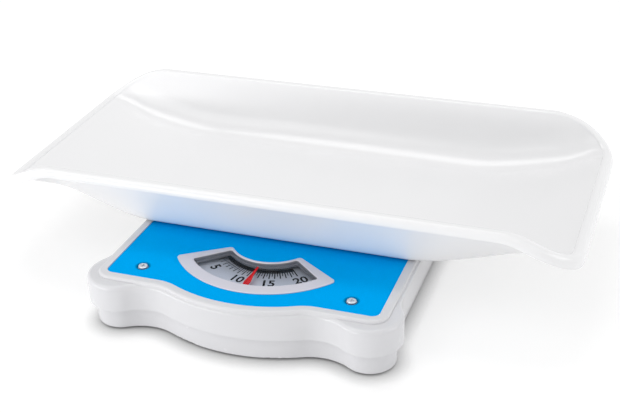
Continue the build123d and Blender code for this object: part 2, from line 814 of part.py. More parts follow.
levers = []
for side, sign in (("left", -1), ("right", 1)):
    with BuildPart() as long_lever:
        add(
            channel(
                [
                    (sign * fulcrum_x, rear_fulcrum_y + lever_head),
                    (sign * fulcrum_x, long_knee_y),
                    (sign * nose_x, long_end_y),
                    (sign * nose_x, nose_y - nose_tail),
                ]
            )
        )
        with Locations((sign * nose_x, nose_y, lever_top - lever_wall)):
            Cylinder(
                stud_radius,
                lever_height - lever_wall + stud_drop - stud_radius,
                align=(Align.CENTER, Align.CENTER, Align.MAX),
            )
        with Locations((sign * nose_x, nose_y, lever_bottom - stud_drop + stud_radius)):
            Sphere(stud_radius)
        with Locations(
            (sign * fulcrum_x, rear_fulcrum_y, pin_z),
            (sign * fulcrum_x, rear_fulcrum_y - load_arm, pin_z),
        ):
            Cylinder(
                pin_radius + fit_gap, pin_length, rotation=(0, 90, 0), mode=Mode.SUBTRACT
            )
    long_lever.part.label = f"long_lever_{side}"
    levers.append(long_lever)

    tongue_angle = math.degrees(math.atan2(short_way[1], sign * short_way[0]))
    blade_length = lever_head + tongue_overhang
    with BuildPart() as short_lever:
        add(
            channel(
                [
                    (sign * fulcrum_x, front_fulcrum_y - lever_head),
                    (sign * fulcrum_x, short_knee_y),
                    (sign * short_end[0], short_end[1]),
                ]
            )
        )
        back = (short_end[0] - lever_head * short_way[0], short_end[1] - lever_head * short_way[1])
        with Locations((sign * back[0], back[1], lever_top + tongue_lift)):
            Box(
                blade_length,
                tongue_width,
                tongue_thickness,
                rotation=(0, 0, tongue_angle),
                align=(Align.MIN, Align.CENTER, Align.MIN),
            )
        with Locations((sign * back[0], back[1], lever_top - lever_wall / 2)):
            Box(
                lever_head - 1,
                tongue_width,
                tongue_lift + lever_wall,
                rotation=(0, 0, tongue_angle),
                align=(Align.MIN, Align.CENTER, Align.MIN),
            )
        with Locations((sign * crossing_x, crossing_y, lever_top + tongue_gap)):
            Cylinder(
                tongue_button_radius,
                tongue_lift - tongue_gap + tongue_thickness / 2,
                align=(Align.CENTER, Align.CENTER, Align.MIN),
            )
        with Locations(
            (sign * fulcrum_x, front_fulcrum_y, pin_z),
            (sign * fulcrum_x, front_fulcrum_y + load_arm, pin_z),
        ):
            Cylinder(
                pin_radius + fit_gap, pin_length, rotation=(0, 90, 0), mode=Mode.SUBTRACT
            )
    short_lever.part.label = f"short_lever_{side}"
    levers.append(short_lever)


def knife_pins(ys):
    """Pins across the levers at each y, both sides."""
    with BuildPart() as pins:
        with Locations(*[(sign * fulcrum_x, y, pin_z) for sign in (-1, 1) for y in ys]):
            Cylinder(pin_radius, pin_length, rotation=(0, 90, 0))
    return pins


long_lever_pins = knife_pins((rear_fulcrum_y, rear_fulcrum_y - load_arm))
long_lever_pins.part.label = "long_lever_pins"
short_lever_pins = knife_pins((front_fulcrum_y, front_fulcrum_y + load_arm))
short_lever_pins.part.label = "short_lever_pins"

# Bell crank: arm under the noses, barrel on the pivot, upright to the rack
stud_bottom = lever_bottom - stud_drop
arm_top = stud_bottom - tongue_gap
with BuildPart() as bell_crank:
    with Locations((0, crank_y, crank_z)):
        Cylinder(crank_barrel_radius, 2 * crank_barrel_half, rotation=(0, 90, 0))
    with BuildSketch(Plane.XY.offset(arm_top - crank_plate)):
        with Locations((0, nose_y)):
            Rectangle(2 * crank_arm_half_width, 2 * crank_arm_overrun)
        with Locations((0, (nose_y + crank_y) / 2)):
            Rectangle(2 * crank_barrel_half - 4, crank_y - nose_y)
    extrude(amount=crank_plate)
    with BuildSketch(Plane.XZ.offset(-crank_y - crank_plate / 2)):
        with Locations((0, (crank_z + rack_z) / 2)):
            Rectangle(crank_upright_width, rack_z - crank_z)
        with Locations((0, rack_z)):
            Circle(crank_upright_width / 2)
    extrude(amount=crank_plate)
    with Locations((0, crank_y, crank_z)):
        Cylinder(
            crank_pin_radius + fit_gap,
            2 * crank_barrel_half + 2,
            rotation=(0, 90, 0),
            mode=Mode.SUBTRACT,
        )
    with Locations((0, crank_y, spring_z)):
        Cylinder(
            spring_hook_radius + 4 * fit_gap,
            2 * crank_plate,
            rotation=(90, 0, 0),
            mode=Mode.SUBTRACT,
        )
    rack_pin_start = -crank_upright_width / 4
    rack_left = crank_upright_width / 2 + rack_side_gap
    with Locations((rack_pin_start, crank_y, rack_z)):
        Cylinder(
            rack_pin_radius,
            rack_left + rack_width + 1 - rack_pin_start,
            rotation=(0, 90, 0),
            align=(Align.CENTER, Align.CENTER, Align.MIN),
        )
bell_crank.part.label = "bell_crank"

# Crank bracket on the chassis and its pivot pin
crank_ear_x = crank_barrel_half + fit_gap * 4
with BuildPart() as crank_bracket:
    with BuildSketch(Plane.XY.offset(chassis_top)):
        for sign in (1, -1):
            with Locations((sign * (crank_ear_x + ear_thickness / 2), crank_y)):
                Rectangle(ear_thickness, ear_width)
    extrude(amount=crank_pivot_height + ear_beyond_pin)
    with BuildSketch(Plane.XY.offset(chassis_top)):
        for sign in (1, -1):
            with Locations((sign * (crank_ear_x + 5), crank_y)):
                Rectangle(10, ear_width)
    extrude(amount=bracket_foot)
    with Locations((0, crank_y, crank_z)):
        Cylinder(
            crank_pin_radius + fit_gap, 4 * crank_ear_x, rotation=(0, 90, 0), mode=Mode.SUBTRACT
        )
crank_bracket.part.label = "crank_bracket"

with BuildPart() as crank_pin:
    with Locations((0, crank_y, crank_z)):
        Cylinder(crank_pin_radius, 2 * (crank_ear_x + ear_thickness) + 1, rotation=(0, 90, 0))
crank_pin.part.label = "crank_pin"

# Rack: toothed bar with a slotted eye on the crank's pin
addendum = 0.72 * tooth_module
dedendum = tooth_module
tooth_pitch = math.pi * tooth_module
pitch_line = pitch_radius + mesh_gap
rack_root = pitch_line + dedendum
rack_eye_x = crank_upright_width / 2 + rack_side_gap
rack_bottom = rack_z - rack_thickness / 2
with BuildPart() as rack:
    with BuildSketch(Plane.XY.offset(rack_bottom)):
        with Locations((rack_root, dial_y - rack_front)):
            Rectangle(rack_width, rack_front + crank_setback, align=(Align.MIN, Align.MIN))
        for count in range(rack_teeth):
            middle = dial_y + (count - (rack_teeth - 1) / 2 + 0.5) * tooth_pitch
            Polygon(
                (rack_root + 0.1, middle - 0.33 * tooth_pitch),
                (rack_root + 0.1, middle + 0.33 * tooth_pitch),
                (pitch_line - addendum, middle + 0.12 * tooth_pitch),
                (pitch_line - addendum, middle - 0.12 * tooth_pitch),
                align=None,
            )
    extrude(amount=rack_thickness)
    with BuildSketch(Plane.YZ.offset(rack_root)):
        with Locations((crank_y, rack_z)):
            RectangleRounded(rack_eye_depth, rack_eye_height, 1)
    extrude(amount=rack_width)
    with BuildSketch(Plane.YZ.offset(rack_root)):
        with Locations((crank_y, rack_z)):
            Rectangle(
                2 * (rack_pin_radius + slot_side_gap), 2 * (rack_pin_radius + slot_end_gap)
            )
    extrude(amount=rack_width, mode=Mode.SUBTRACT)
rack.part.label = "rack"

# Rack guide: post with a window, in front of the pinion
guide_y = dial_y - guide_setfront
guide_x = rack_root + rack_width / 2
guide_top = rack_z + rack_thickness / 2 + 1.5
with BuildPart() as rack_guide:
    with BuildSketch(Plane.XY.offset(chassis_top)):
        with Locations((guide_x, guide_y)):
            Rectangle(guide_width, guide_depth)
    extrude(amount=guide_top - chassis_top)
    with BuildSketch(Plane.XY.offset(chassis_top)):
        with Locations((guide_x, guide_y)):
            Rectangle(guide_width + 10, guide_depth + 6)
    extrude(amount=2)
    with BuildSketch(Plane.XZ.offset(-guide_y)):
        with Locations((guide_x, rack_z)):
            Rectangle(rack_width + 2 * guide_gap, rack_thickness + 2 * guide_gap)
    extrude(amount=guide_depth, both=True, mode=Mode.SUBTRACT)
rack_guide.part.label = "rack_guide"

# Pinion shaft: one turned piece with its toothed head
with BuildPart() as pinion_shaft:
    with BuildSketch(Plane.XY.offset(chassis_top - chassis_thickness)):
        with Locations((0, dial_y)):
            Circle(shaft_radius)
    extrude(amount=dial_face + cap_height - boss_top)
    with BuildSketch(Plane.XY.offset(rack_z - pinion_height / 2)):
        with Locations((0, dial_y)):
            Circle(pitch_radius - dedendum)
            with PolarLocations(0, pinion_teeth):
                Polygon(
                    (pitch_radius - dedendum - 0.3, -0.30 * tooth_pitch),
                    (pitch_radius - 0.2, -0.21 * tooth_pitch),
                    (pitch_radius + addendum, -0.09 * tooth_pitch),
                    (pitch_radius + addendum, 0.09 * tooth_pitch),
                    (pitch_radius - 0.2, 0.21 * tooth_pitch),
                    (pitch_radius - dedendum - 0.3, 0.30 * tooth_pitch),
                    align=None,
                )
    extrude(amount=pinion_height)
pinion_shaft.part.label = "pinion_shaft"

# Shaft bushes: one in the chassis, one in the dial bridge
with BuildPart() as shaft_bushes:
    for bottom, plate in ((boss_top, chassis_thickness), (bridge_top - bridge_plate, bridge_plate)):
        with BuildSketch(Plane.XY.offset(bottom)):
            with Locations((0, dial_y)):
                Circle(bush_radius)
        extrude(amount=plate)
        with BuildSketch(Plane.XY.offset(bottom + plate)):
            with Locations((0, dial_y)):
                Circle(bush_flange)
        extrude(amount=bush_flange_height)
    with BuildSketch(Plane.XY.offset(boss_top)):
        with Locations((0, dial_y)):
            Circle(shaft_radius + fit_gap)
    extrude(amount=dial_face - boss_top, mode=Mode.SUBTRACT)
shaft_bushes.part.label = "shaft_bushes"

# Dial bridge: plate on two legs over the rack, with its screws
bridge_screw_points = [(sign * (bridge_half_span + bridge_foot / 2), dial_y) for sign in (-1, 1)]
with BuildPart() as dial_bridge:
    with BuildSketch(Plane.XY.offset(bridge_top - bridge_plate)):
        with Locations((0, dial_y)):
            Rectangle(2 * bridge_half_span, bridge_width)
            Circle(bush_radius + fit_gap, mode=Mode.SUBTRACT)
    extrude(amount=bridge_plate)
    with BuildSketch(Plane.XY.offset(chassis_top)):
        for sign in (1, -1):
            with Locations((sign * (bridge_half_span - bridge_plate / 2), dial_y)):
                Rectangle(bridge_plate, bridge_width)
    extrude(amount=bridge_top - chassis_top)
    with BuildSketch(Plane.XY.offset(chassis_top)):
        with Locations(*bridge_screw_points):
            Rectangle(bridge_foot, bridge_width)
            Circle(bridge_screw_radius + fit_gap, mode=Mode.SUBTRACT)
    extrude(amount=bridge_plate)
dial_bridge.part.label = "dial_bridge"

with BuildPart() as bridge_screws:
    with BuildSketch(Plane.XY.offset(chassis_top + bridge_plate)):
        with Locations(*bridge_screw_points):
            Circle(bridge_screw_head)
    extrude(amount=bridge_screw_head_height)
bridge_screws.part.label = "bridge_screws"

# Dial disc, its hub below and its cap above
with BuildPart() as dial_disc:
    with BuildSketch(Plane.XY.offset(dial_bottom)):
        with Locations((0, dial_y)):
            Circle(dial_radius)
            Circle(shaft_radius + fit_gap, mode=Mode.SUBTRACT)
    extrude(amount=dial_thickness)
dial_disc.part.label = "dial_disc"

with BuildPart() as dial_hub:
    with BuildSketch(Plane.XY.offset(hub_bottom)):
        with Locations((0, dial_y)):
            Circle(hub_radius)
            Circle(shaft_radius + fit_gap, mode=Mode.SUBTRACT)
    extrude(amount=hub_height)
dial_hub.part.label = "dial_hub"

with BuildPart() as hub_cap:
    with BuildSketch(Plane.XY.offset(dial_face)):
        with Locations((0, dial_y)):
            RegularPolygon(cap_radius, 6)
            Circle(shaft_radius + fit_gap, mode=Mode.SUBTRACT)
    extrude(amount=cap_height)
hub_cap.part.label = "hub_cap"

# Zero adjustment: yoke on the screw, rails, bush in the rear wall and knob outside
yoke_y = base_rear - yoke_from_wall
yoke_bottom = chassis_top + yoke_rail_gap
zero_z = zero_screw_height
with BuildPart() as zero_yoke:
    with BuildSketch(Plane.XY.offset(yoke_bottom)):
        with Locations((0, yoke_y)):
            Rectangle(yoke_width, yoke_depth)
    extrude(amount=spring_z + 5 - yoke_bottom)
    with Locations((0, yoke_y, zero_z)):
        Cylinder(
            zero_screw_radius + fit_gap, 3 * yoke_depth, rotation=(90, 0, 0), mode=Mode.SUBTRACT
        )
    with Locations((0, yoke_y, spring_z)):
        Cylinder(
            spring_hook_radius + fit_gap, 3 * yoke_depth, rotation=(90, 0, 0), mode=Mode.SUBTRACT
        )
zero_yoke.part.label = "zero_yoke"

rail_run = yoke_depth + 2 * yoke_travel + 6
with BuildPart() as yoke_rails:
    with BuildSketch(Plane.XY.offset(chassis_top)):
        for sign in (1, -1):
            with Locations(
                (sign * (yoke_width / 2 + yoke_rail_gap + yoke_rail_width / 2), yoke_y)
            ):
                Rectangle(yoke_rail_width, rail_run)
    extrude(amount=yoke_rail_height)
yoke_rails.part.label = "yoke_rails"

base_inner_rear = base_rear - base_wall - bush_seat_gap
with BuildPart() as zero_bush:
    with BuildSketch(Plane.XZ.offset(-base_inner_rear)):
        with Locations((0, zero_z)):
            Circle(zero_screw_radius + bush_wall + 2)
            Circle(zero_screw_radius + fit_gap, mode=Mode.SUBTRACT)
    extrude(amount=2)
    with BuildSketch(Plane.XZ.offset(-base_rear)):
        with Locations((0, zero_z)):
            Circle(zero_screw_radius + bush_wall)
            Circle(zero_screw_radius + fit_gap, mode=Mode.SUBTRACT)
    extrude(amount=base_wall + bush_seat_gap)
zero_bush.part.label = "zero_bush"

knob_start = base_rear + knob_gap
with BuildPart() as zero_screw:
    with BuildSketch(Plane.XZ.offset(-knob_start - knob_thickness / 2)):
        with Locations((0, zero_z)):
            Circle(zero_screw_radius)
    extrude(amount=knob_start + knob_thickness / 2 - yoke_y + yoke_depth / 2 + screw_beyond_yoke)
zero_screw.part.label = "zero_screw"

with BuildPart() as zero_knob:
    with BuildSketch(Plane.XZ.offset(-knob_start)):
        with Locations((0, zero_z)):
            Circle(knob_radius)
            with PolarLocations(knob_radius, knob_grooves):
                Circle(0.5, mode=Mode.SUBTRACT)
    extrude(amount=-knob_thickness)
    with BuildSketch(Plane.XZ.offset(-knob_start)):
        with Locations((0, zero_z)):
            Circle(zero_screw_radius + fit_gap)
    extrude(amount=-knob_thickness / 2, mode=Mode.SUBTRACT)
zero_knob.part.label = "zero_knob"

# Main spring, from the crank's upright to the zero yoke
coil_start = crank_y + crank_plate / 2 + spring_hook_gap
coil_end = yoke_y - yoke_depth / 2 - spring_hook_gap
with BuildPart() as main_spring:
    with BuildSketch(Plane.XZ.offset(-coil_start)):
        with Locations((0, spring_z)):
            Circle(spring_outer)
            Circle(spring_outer - spring_wire, mode=Mode.SUBTRACT)
    extrude(amount=-(coil_end - coil_start))
    for end, way in ((coil_start, 1), (coil_end, -1)):
        with Locations((0, end, spring_z)):
            Cylinder(spring_outer, spring_wire, rotation=(90, 0, 0))
        reach = spring_hook_gap + crank_plate if way == 1 else spring_hook_gap + yoke_depth / 2
        with BuildSketch(Plane.XZ.offset(-end)):
            with Locations((0, spring_z)):
                Circle(spring_hook_radius)
        extrude(amount=way * reach)
main_spring.part.label = "main_spring"

# Tray: scoop shell with a rolled, down-turned rim that drops at the ends
outer_scoop = scoop(0)
inner_scoop = scoop(tray_wall)
skirt_band = rim_region(tray_skirt)
lip_band = rim_region(tray_wall)
wall_band = rim_region(rim_top - mat_top)
with BuildPart() as wall_body:
    add(outer_scoop)
    with BuildSketch(Plane.XY.offset(mat_top)):
        add(tray_plan(tray_lip))
    extrude(amount=rim_top, mode=Mode.INTERSECT)
with BuildPart() as cavity:
    add(inner_scoop)
    with BuildSketch(Plane.XY.offset(mat_top)):
        add(tray_plan(tray_lip + tray_wall))
    extrude(amount=rim_top, mode=Mode.INTERSECT)
with BuildPart() as lip:
    with BuildSketch(Plane.XY.offset(mat_top)):
        add(tray_plan(0))
    extrude(amount=rim_top)
    with BuildSketch(Plane.XY.offset(mat_top)):
        add(tray_plan(tray_skirt_wall))
    extrude(amount=rim_top, mode=Mode.SUBTRACT)
    extrude(skirt_band, amount=tray_width, both=True, mode=Mode.INTERSECT)
with BuildPart() as brim:
    with BuildSketch(Plane.XY.offset(mat_top)):
        add(tray_plan(0))
    extrude(amount=rim_top)
    extrude(lip_band, amount=tray_width, both=True, mode=Mode.INTERSECT)
with BuildPart() as tray:
    add(wall_body.part)
    extrude(wall_band, amount=tray_width, both=True, mode=Mode.INTERSECT)
    add(brim.part)
    add(lip.part)
    add(cavity.part, mode=Mode.SUBTRACT)
tray.part.label = "tray"

# Rubber pads under the tray
with BuildPart() as tray_pads:
    with BuildSketch(Plane.XY.offset(mat_top)):
        with Locations(*corner_points(pad_x, pad_y, tray_y)):
            Circle(pad_radius)
    extrude(amount=pad_height)
tray_pads.part.label = "tray_pads"

os.makedirs("parts", exist_ok=True)
pieces = [
    platform_cover, top_mat, window_bezel, window_lens, pointer, cover_screws, load_frame,
    load_posts, fulcrum_brackets, base_shell, rubber_feet, chassis_plate, chassis_screws,
    *levers, long_lever_pins, short_lever_pins, bell_crank, crank_bracket, crank_pin, rack,
    rack_guide, pinion_shaft, shaft_bushes, dial_bridge, bridge_screws, dial_disc, dial_hub,
    hub_cap, zero_yoke, yoke_rails, zero_bush, zero_screw, zero_knob, main_spring, tray,
    tray_pads,
]
for piece in pieces:
    export_step(piece.part, f"parts/{piece.part.label}.step")
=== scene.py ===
"""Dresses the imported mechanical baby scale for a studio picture.

Every length is in metres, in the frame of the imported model: +X runs along the tray, the dial
faces -Y, and the floor is z = 0.
"""

import logging
import math
from dataclasses import dataclass, field
from enum import Enum
from typing import Iterable, Optional, Sequence, Union

import bmesh
import bpy
from mathutils import Matrix, Vector


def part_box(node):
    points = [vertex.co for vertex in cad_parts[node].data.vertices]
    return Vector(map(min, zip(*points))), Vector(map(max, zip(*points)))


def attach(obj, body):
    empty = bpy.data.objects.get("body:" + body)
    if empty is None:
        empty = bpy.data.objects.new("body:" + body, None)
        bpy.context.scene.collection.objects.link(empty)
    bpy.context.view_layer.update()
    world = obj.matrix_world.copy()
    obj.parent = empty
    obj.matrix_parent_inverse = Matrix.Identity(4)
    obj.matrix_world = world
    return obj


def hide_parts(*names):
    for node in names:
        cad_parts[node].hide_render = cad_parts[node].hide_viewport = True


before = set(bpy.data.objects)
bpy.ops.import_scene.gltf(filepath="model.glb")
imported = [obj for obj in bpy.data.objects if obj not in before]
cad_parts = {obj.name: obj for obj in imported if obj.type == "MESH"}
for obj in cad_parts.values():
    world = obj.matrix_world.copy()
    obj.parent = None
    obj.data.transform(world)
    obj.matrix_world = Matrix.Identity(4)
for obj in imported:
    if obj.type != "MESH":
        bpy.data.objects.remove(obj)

LOG = logging.getLogger("baby_scale")
MM = 0.001

Colour = tuple[float, float, float]
Rgba = tuple[float, float, float, float]
Node = bpy.types.Node
Socket = bpy.types.NodeSocket

WHITE: Rgba = (1.0, 1.0, 1.0, 1.0)
BLACK: Rgba = (0.0, 0.0, 0.0, 1.0)

SMOOTH_STEP = {"interpolation_type": "SMOOTHSTEP"}

# Sockets of the Mix node when it mixes colours; their names aren't unique
MIX_SHARE, MIX_FIRST, MIX_SECOND, MIX_COLOUR = 0, 6, 7, 2


def linear(channel: int) -> float:
    """Returns the linear share of an 8-bit screen channel, by the sRGB curve."""
    share = channel / 255
    return share / 12.92 if share <= 0.04045 else ((share + 0.055) / 1.055) ** 2.4


def from_screen(red: int, green: int, blue: int) -> Colour:
    """Returns the linear colour of an 8-bit screen colour."""
    return linear(red), linear(green), linear(blue)


def rgba(colour: Colour) -> Rgba:
    """Returns the colour with full opacity."""
    return (*colour, 1.0)


def soft_least(first: float, second: float, power: int = 3) -> float:
    """Returns a smooth curve just under the lesser of two positive lengths."""
    return first * second / (first**power + second**power) ** (1 / power)


def on_axis(low: Vector, high: Vector, height: float) -> Vector:
    """Returns the point at a height on the upright line through a box's middle."""
    return Vector(((low.x + high.x) / 2, (low.y + high.y) / 2, height))


class Value:
    """A socket that carries one number and takes part in Python sums.

    Args:
        graph: The graph that the socket belongs to.
        socket: The output socket.
    """

    def __init__(self, graph: "Graph", socket: Socket) -> None:
        """Keeps the graph and the socket."""
        self.graph = graph
        self.socket = socket

    def _sum(self, operation: str, first: "Number", second: "Number") -> "Value":
        """Returns the result of one Math node."""
        return self.graph.value("ShaderNodeMath", {"operation": operation}, {0: first, 1: second})

    def __add__(self, other: "Number") -> "Value":
        """Returns the sum."""
        return self._sum("ADD", self, other)

    __radd__ = __add__

    def __sub__(self, other: "Number") -> "Value":
        """Returns the difference."""
        return self._sum("SUBTRACT", self, other)

    def __rsub__(self, other: "Number") -> "Value":
        """Returns a plain number less this value."""
        return self._sum("SUBTRACT", other, self)

    def __mul__(self, other: "Number") -> "Value":
        """Returns the product."""
        return self._sum("MULTIPLY", self, other)

    __rmul__ = __mul__

    def __pow__(self, other: "Number") -> "Value":
        """Returns the value raised to a power."""
        return self._sum("POWER", self, other)

    def __abs__(self) -> "Value":
        """Returns the value without its sign."""
        return self.graph.value("ShaderNodeMath", {"operation": "ABSOLUTE"}, {0: self})

    def smooth(self, low: float, high: float) -> "Value":
        """Returns 0 below low, 1 above high and a smooth step between."""
        sockets = {"Value": self, "From Min": low, "From Max": high}
        return self.graph.value("ShaderNodeMapRange", SMOOTH_STEP, sockets)


Number = Union[Value, float]
Feed = Union[Value, Socket, float, Sequence[float]]
Key = Union[str, int]
Settings = Optional[dict[str, object]]
Sockets = Optional[dict[Key, Feed]]
Owner = Union[bpy.types.Material, bpy.types.World]


class Graph:
    """The node tree of one new material or world."""

    def __init__(self, owner: Owner) -> None:
        """Empties the owner's node tree.

        Args:
            owner: The material or world.
        """
        self.owner = owner
        owner.use_nodes = True
        self.tree = owner.node_tree
        self.tree.nodes.clear()

    def node(self, kind: str, settings: Settings = None, sockets: Sockets = None) -> Node:
        """Adds a node, sets it up and feeds its sockets.

        Args:
            kind: The node's type.
            settings: Attributes that are set first.
            sockets: Values or links, by the input's name or number.

        Returns:
            The new node.
        """
        node = self.tree.nodes.new(kind)
        for name, setting in (settings or {}).items():
            setattr(node, name, setting)
        for key, feed in (sockets or {}).items():
            self.feed(node.inputs[key], feed)
        return node

    def feed(self, socket: Socket, feed: Feed) -> None:
        """Links or sets one input socket.

        Args:
            socket: The input socket.
            feed: A value or output socket to link, or a plain number or colour to set.
        """
        if isinstance(feed, Value):
            feed = feed.socket
        if isinstance(feed, Socket):
            self.tree.links.new(feed, socket)
        else:
            socket.default_value = feed

    def value(
        self, kind: str, settings: Settings = None, sockets: Sockets = None, output: Key = 0
    ) -> Value:
        """Adds a node and returns one of its outputs as a value."""
        return Value(self, self.node(kind, settings, sockets).outputs[output])

    def place(self) -> Socket:
        """Returns the place on the object, in metres."""
        return self.node("ShaderNodeTexCoord").outputs["Object"]

    def axes(self) -> tuple[Value, Value, Value]:
        """Returns the place on the object, at rest, as three lengths in metres."""
        parts = self.node("ShaderNodeSeparateXYZ", None, {"Vector": self.place()})
        return tuple(Value(self, parts.outputs[axis]) for axis in "XYZ")

    def height(self) -> Value:
        """Returns the height above the floor, at rest, in metres."""
        return self.axes()[2]

    def radius(self, centre_y: float) -> Value:
        """Returns the distance from an upright axis.

        Args:
            centre_y: The axis's place along Y; along X it is at 0.

        Returns:
            The distance in metres.
        """
        across, along, _ = self.axes()
        along = along - centre_y
        return (across * across + along * along) ** 0.5

    def noise(
        self, scale: float, detail: float = 2.0, stretch: Sequence[float] = (1, 1, 1)
    ) -> Value:
        """Returns even noise from 0 to 1.

        Args:
            scale: Patches per metre.
            detail: Octaves of finer noise.
            stretch: How much the pattern is packed along each axis.

        Returns:
            The noise.
        """
        mapped = {"Vector": self.place(), "Scale": stretch}
        place = self.node("ShaderNodeMapping", {"vector_type": "POINT"}, mapped)
        sockets = {"Vector": place.outputs["Vector"], "Scale": scale, "Detail": detail}
        return self.value("ShaderNodeTexNoise", None, sockets, "Fac")

    def cells(self, scale: float) -> Value:
        """Returns the distance to the nearest of many scattered points."""
        sockets = {"Vector": self.place(), "Scale": scale}
        return self.value("ShaderNodeTexVoronoi", {"feature": "F1"}, sockets, "Distance")

    def mix(self, share: Number, first: Feed, second: Feed) -> Socket:
        """Returns a colour between two colours, all second where the share is 1."""
        sockets = {MIX_SHARE: share, MIX_FIRST: first, MIX_SECOND: second}
        return self.node("ShaderNodeMix", {"data_type": "RGBA"}, sockets).outputs[MIX_COLOUR]

    def bump(self, height: Value, depth: float, strength: float = 1.0) -> Socket:
        """Returns the normal of a surface raised by height times depth."""
        sockets = {"Height": height, "Distance": depth, "Strength": strength}
        return self.node("ShaderNodeBump", None, sockets).outputs["Normal"]

    def principled(self, sockets: Sockets) -> Node:
        """Adds a Principled shader."""
        return self.node("ShaderNodeBsdfPrincipled", None, sockets)

    def blend(self, share: Number, first: Node, second: Node) -> Node:
        """Adds a mix of two shaders, all second where the share is 1."""
        sockets = {0: share, 1: first.outputs[0], 2: second.outputs[0]}
        return self.node("ShaderNodeMixShader", None, sockets)

    def seen(self) -> Value:
        """Returns 1 for what is seen, also in a mirror or through glass, and 0 for light.

        Returns:
            The share that a background's own white takes.
        """
        rays = self.node("ShaderNodeLightPath")
        camera = Value(self, rays.outputs["Is Camera Ray"])
        mirror = Value(self, rays.outputs["Is Glossy Ray"])
        through = Value(self, rays.outputs["Is Transmission Ray"])
        return camera + mirror + through

    def finish(self, shader: Node) -> Owner:
        """Sends a shader to the surface.

        Args:
            shader: The shader or background.

        Returns:
            The material or world.
        """
        in_world = isinstance(self.owner, bpy.types.World)
        kind = "ShaderNodeOutputWorld" if in_world else "ShaderNodeOutputMaterial"
        self.node(kind, None, {"Surface": shader.outputs[0]})
        return self.owner


@dataclass(frozen=True)
class Surface:
    """A named finish; each kind of surface builds its own shader."""

    name: str
    colour: Colour

    def shader(self, graph: Graph) -> Node:
        """Adds the finish's nodes to the graph and returns its shader."""
        raise NotImplementedError

    def shade(self, share: float = 1.0) -> Rgba:
        """Returns the colour times a share, with full opacity."""
        return rgba(tuple(channel * share for channel in self.colour))

    def material(self) -> bpy.types.Material:
        """Returns the finish's one material, made the first time.

        Returns:
            The material, whose name no CAD material has.
        """
        name = f"dressed_{self.name}"
        found = bpy.data.materials.get(name)
        if found is not None:
            return found
        graph = Graph(bpy.data.materials.new(name))
        return graph.finish(self.shader(graph))


@dataclass(frozen=True)
class MouldedPlastic(Surface):
    """Injection-moulded plastic with a faint spark-eroded grain and flow clouds."""

    roughness: float = 0.3
    specular: float = 0.5
    grain_depth: float = 0.01 * MM
    grain_scale: float = 1400.0
    cloud: float = 0.03
    cloud_scale: float = 9.0
    wear: float = 0.08
    wear_scale: float = 60.0

    def shader(self, graph: Graph) -> Node:
        """Adds the plastic's nodes.

        Args:
            graph: The material's graph.

        Returns:
            The shader.
        """
        clouds = graph.noise(self.cloud_scale, detail=3.0)
        grain = graph.noise(self.grain_scale)
        wear = graph.noise(self.wear_scale, detail=4.0)
        sockets = {
            "Base Color": graph.mix(clouds, self.shade(), self.shade(1 - self.cloud)),
            "Roughness": self.roughness + (wear - 0.5) * self.wear,
            "Specular IOR Level": self.specular,
            "Normal": graph.bump(grain, self.grain_depth),
        }
        return graph.principled(sockets)


@dataclass(frozen=True)
class PolishedPlastic(MouldedPlastic):
    """Plastic from a polished mould, with hardly any grain."""

    grain_depth: float = 0.002 * MM
    grain_scale: float = 500.0
    cloud: float = 0.02


@dataclass(frozen=True)
class NonSlipSheet(Surface):
    """Embossed coloured sheet: tiny pips, dust-dull patches, painted shade in its hollows and at
    the screws.
    """

    roughness: float = 0.5
    specular: float = 0.0
    pip_scale: float = 900.0
    pip_depth: float = 0.05 * MM
    pip_strength: float = 0.5
    # painted shade in the hollows between the pips
    pip_shade: float = 0.86
    pip_share: float = 0.5
    patch_scale: float = 14.0
    patch_shade: float = 0.94
    patch_share: float = 0.35
    patch_roughness: float = 0.1
    # painted shade in the screw wells: walls below the sheet's top by these depths are darkened
    well_start: float = 0.1 * MM
    well_depth: float = 0.9 * MM
    well_shade: float = 0.35
    # painted shade: a soft dark ring round each cover screw
    screw_head: float = 4.4 * MM
    ring_inside: float = 6.0 * MM
    ring_outside: float = 8.2 * MM
    ring_shade: float = 0.55

    def wells(self, graph: Graph) -> Value:
        """Returns 1 on the well walls below the sheet's top, where shade is painted, and 0 on
        top.
        """
        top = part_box("top_mat")[1].z
        return 1 - graph.height().smooth(top - self.well_depth, top - self.well_start)

    def rings(self, graph: Graph) -> Value:
        """Paints shade on the sheet in a ring round each of the four cover screws, in place of a
        dimple's shading.

        Args:
            graph: The material's graph.

        Returns:
            1 round the screws and 0 elsewhere.
        """
        low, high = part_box("cover_screws")
        across, along, _ = graph.axes()
        off_x = abs(across) - (high.x - self.screw_head)
        off_y = abs(along - (low.y + high.y) / 2) - ((high.y - low.y) / 2 - self.screw_head)
        away = (off_x * off_x + off_y * off_y) ** 0.5
        return 1 - away.smooth(self.ring_inside, self.ring_outside)

    def shader(self, graph: Graph) -> Node:
        """Adds the sheet's nodes.

        Args:
            graph: The material's graph.

        Returns:
            The shader.
        """
        pips = graph.cells(self.pip_scale)
        patches = graph.noise(self.patch_scale, detail=4.0)
        # painted shade: darker between the raised pips
        between = pips.smooth(low=0.1, high=0.7) * self.pip_share
        hollow_painted_shade = graph.mix(between, self.shade(), self.shade(self.pip_shade))
        even = graph.mix(patches * self.patch_share, hollow_painted_shade, self.shade(self.patch_shade))
        # painted shade in a ring round each screw
        dimple_shaded = graph.mix(self.rings(graph), even, self.shade(self.ring_shade))
        sockets = {
            # painted shade on the screw wells' walls
            "Base Color": graph.mix(self.wells(graph), dimple_shaded, self.shade(self.well_shade)),
            "Roughness": self.roughness + patches * self.patch_roughness,
            "Specular IOR Level": self.specular,
            "Normal": graph.bump(1 - pips, self.pip_depth, self.pip_strength),
        }
        return graph.principled(sockets)


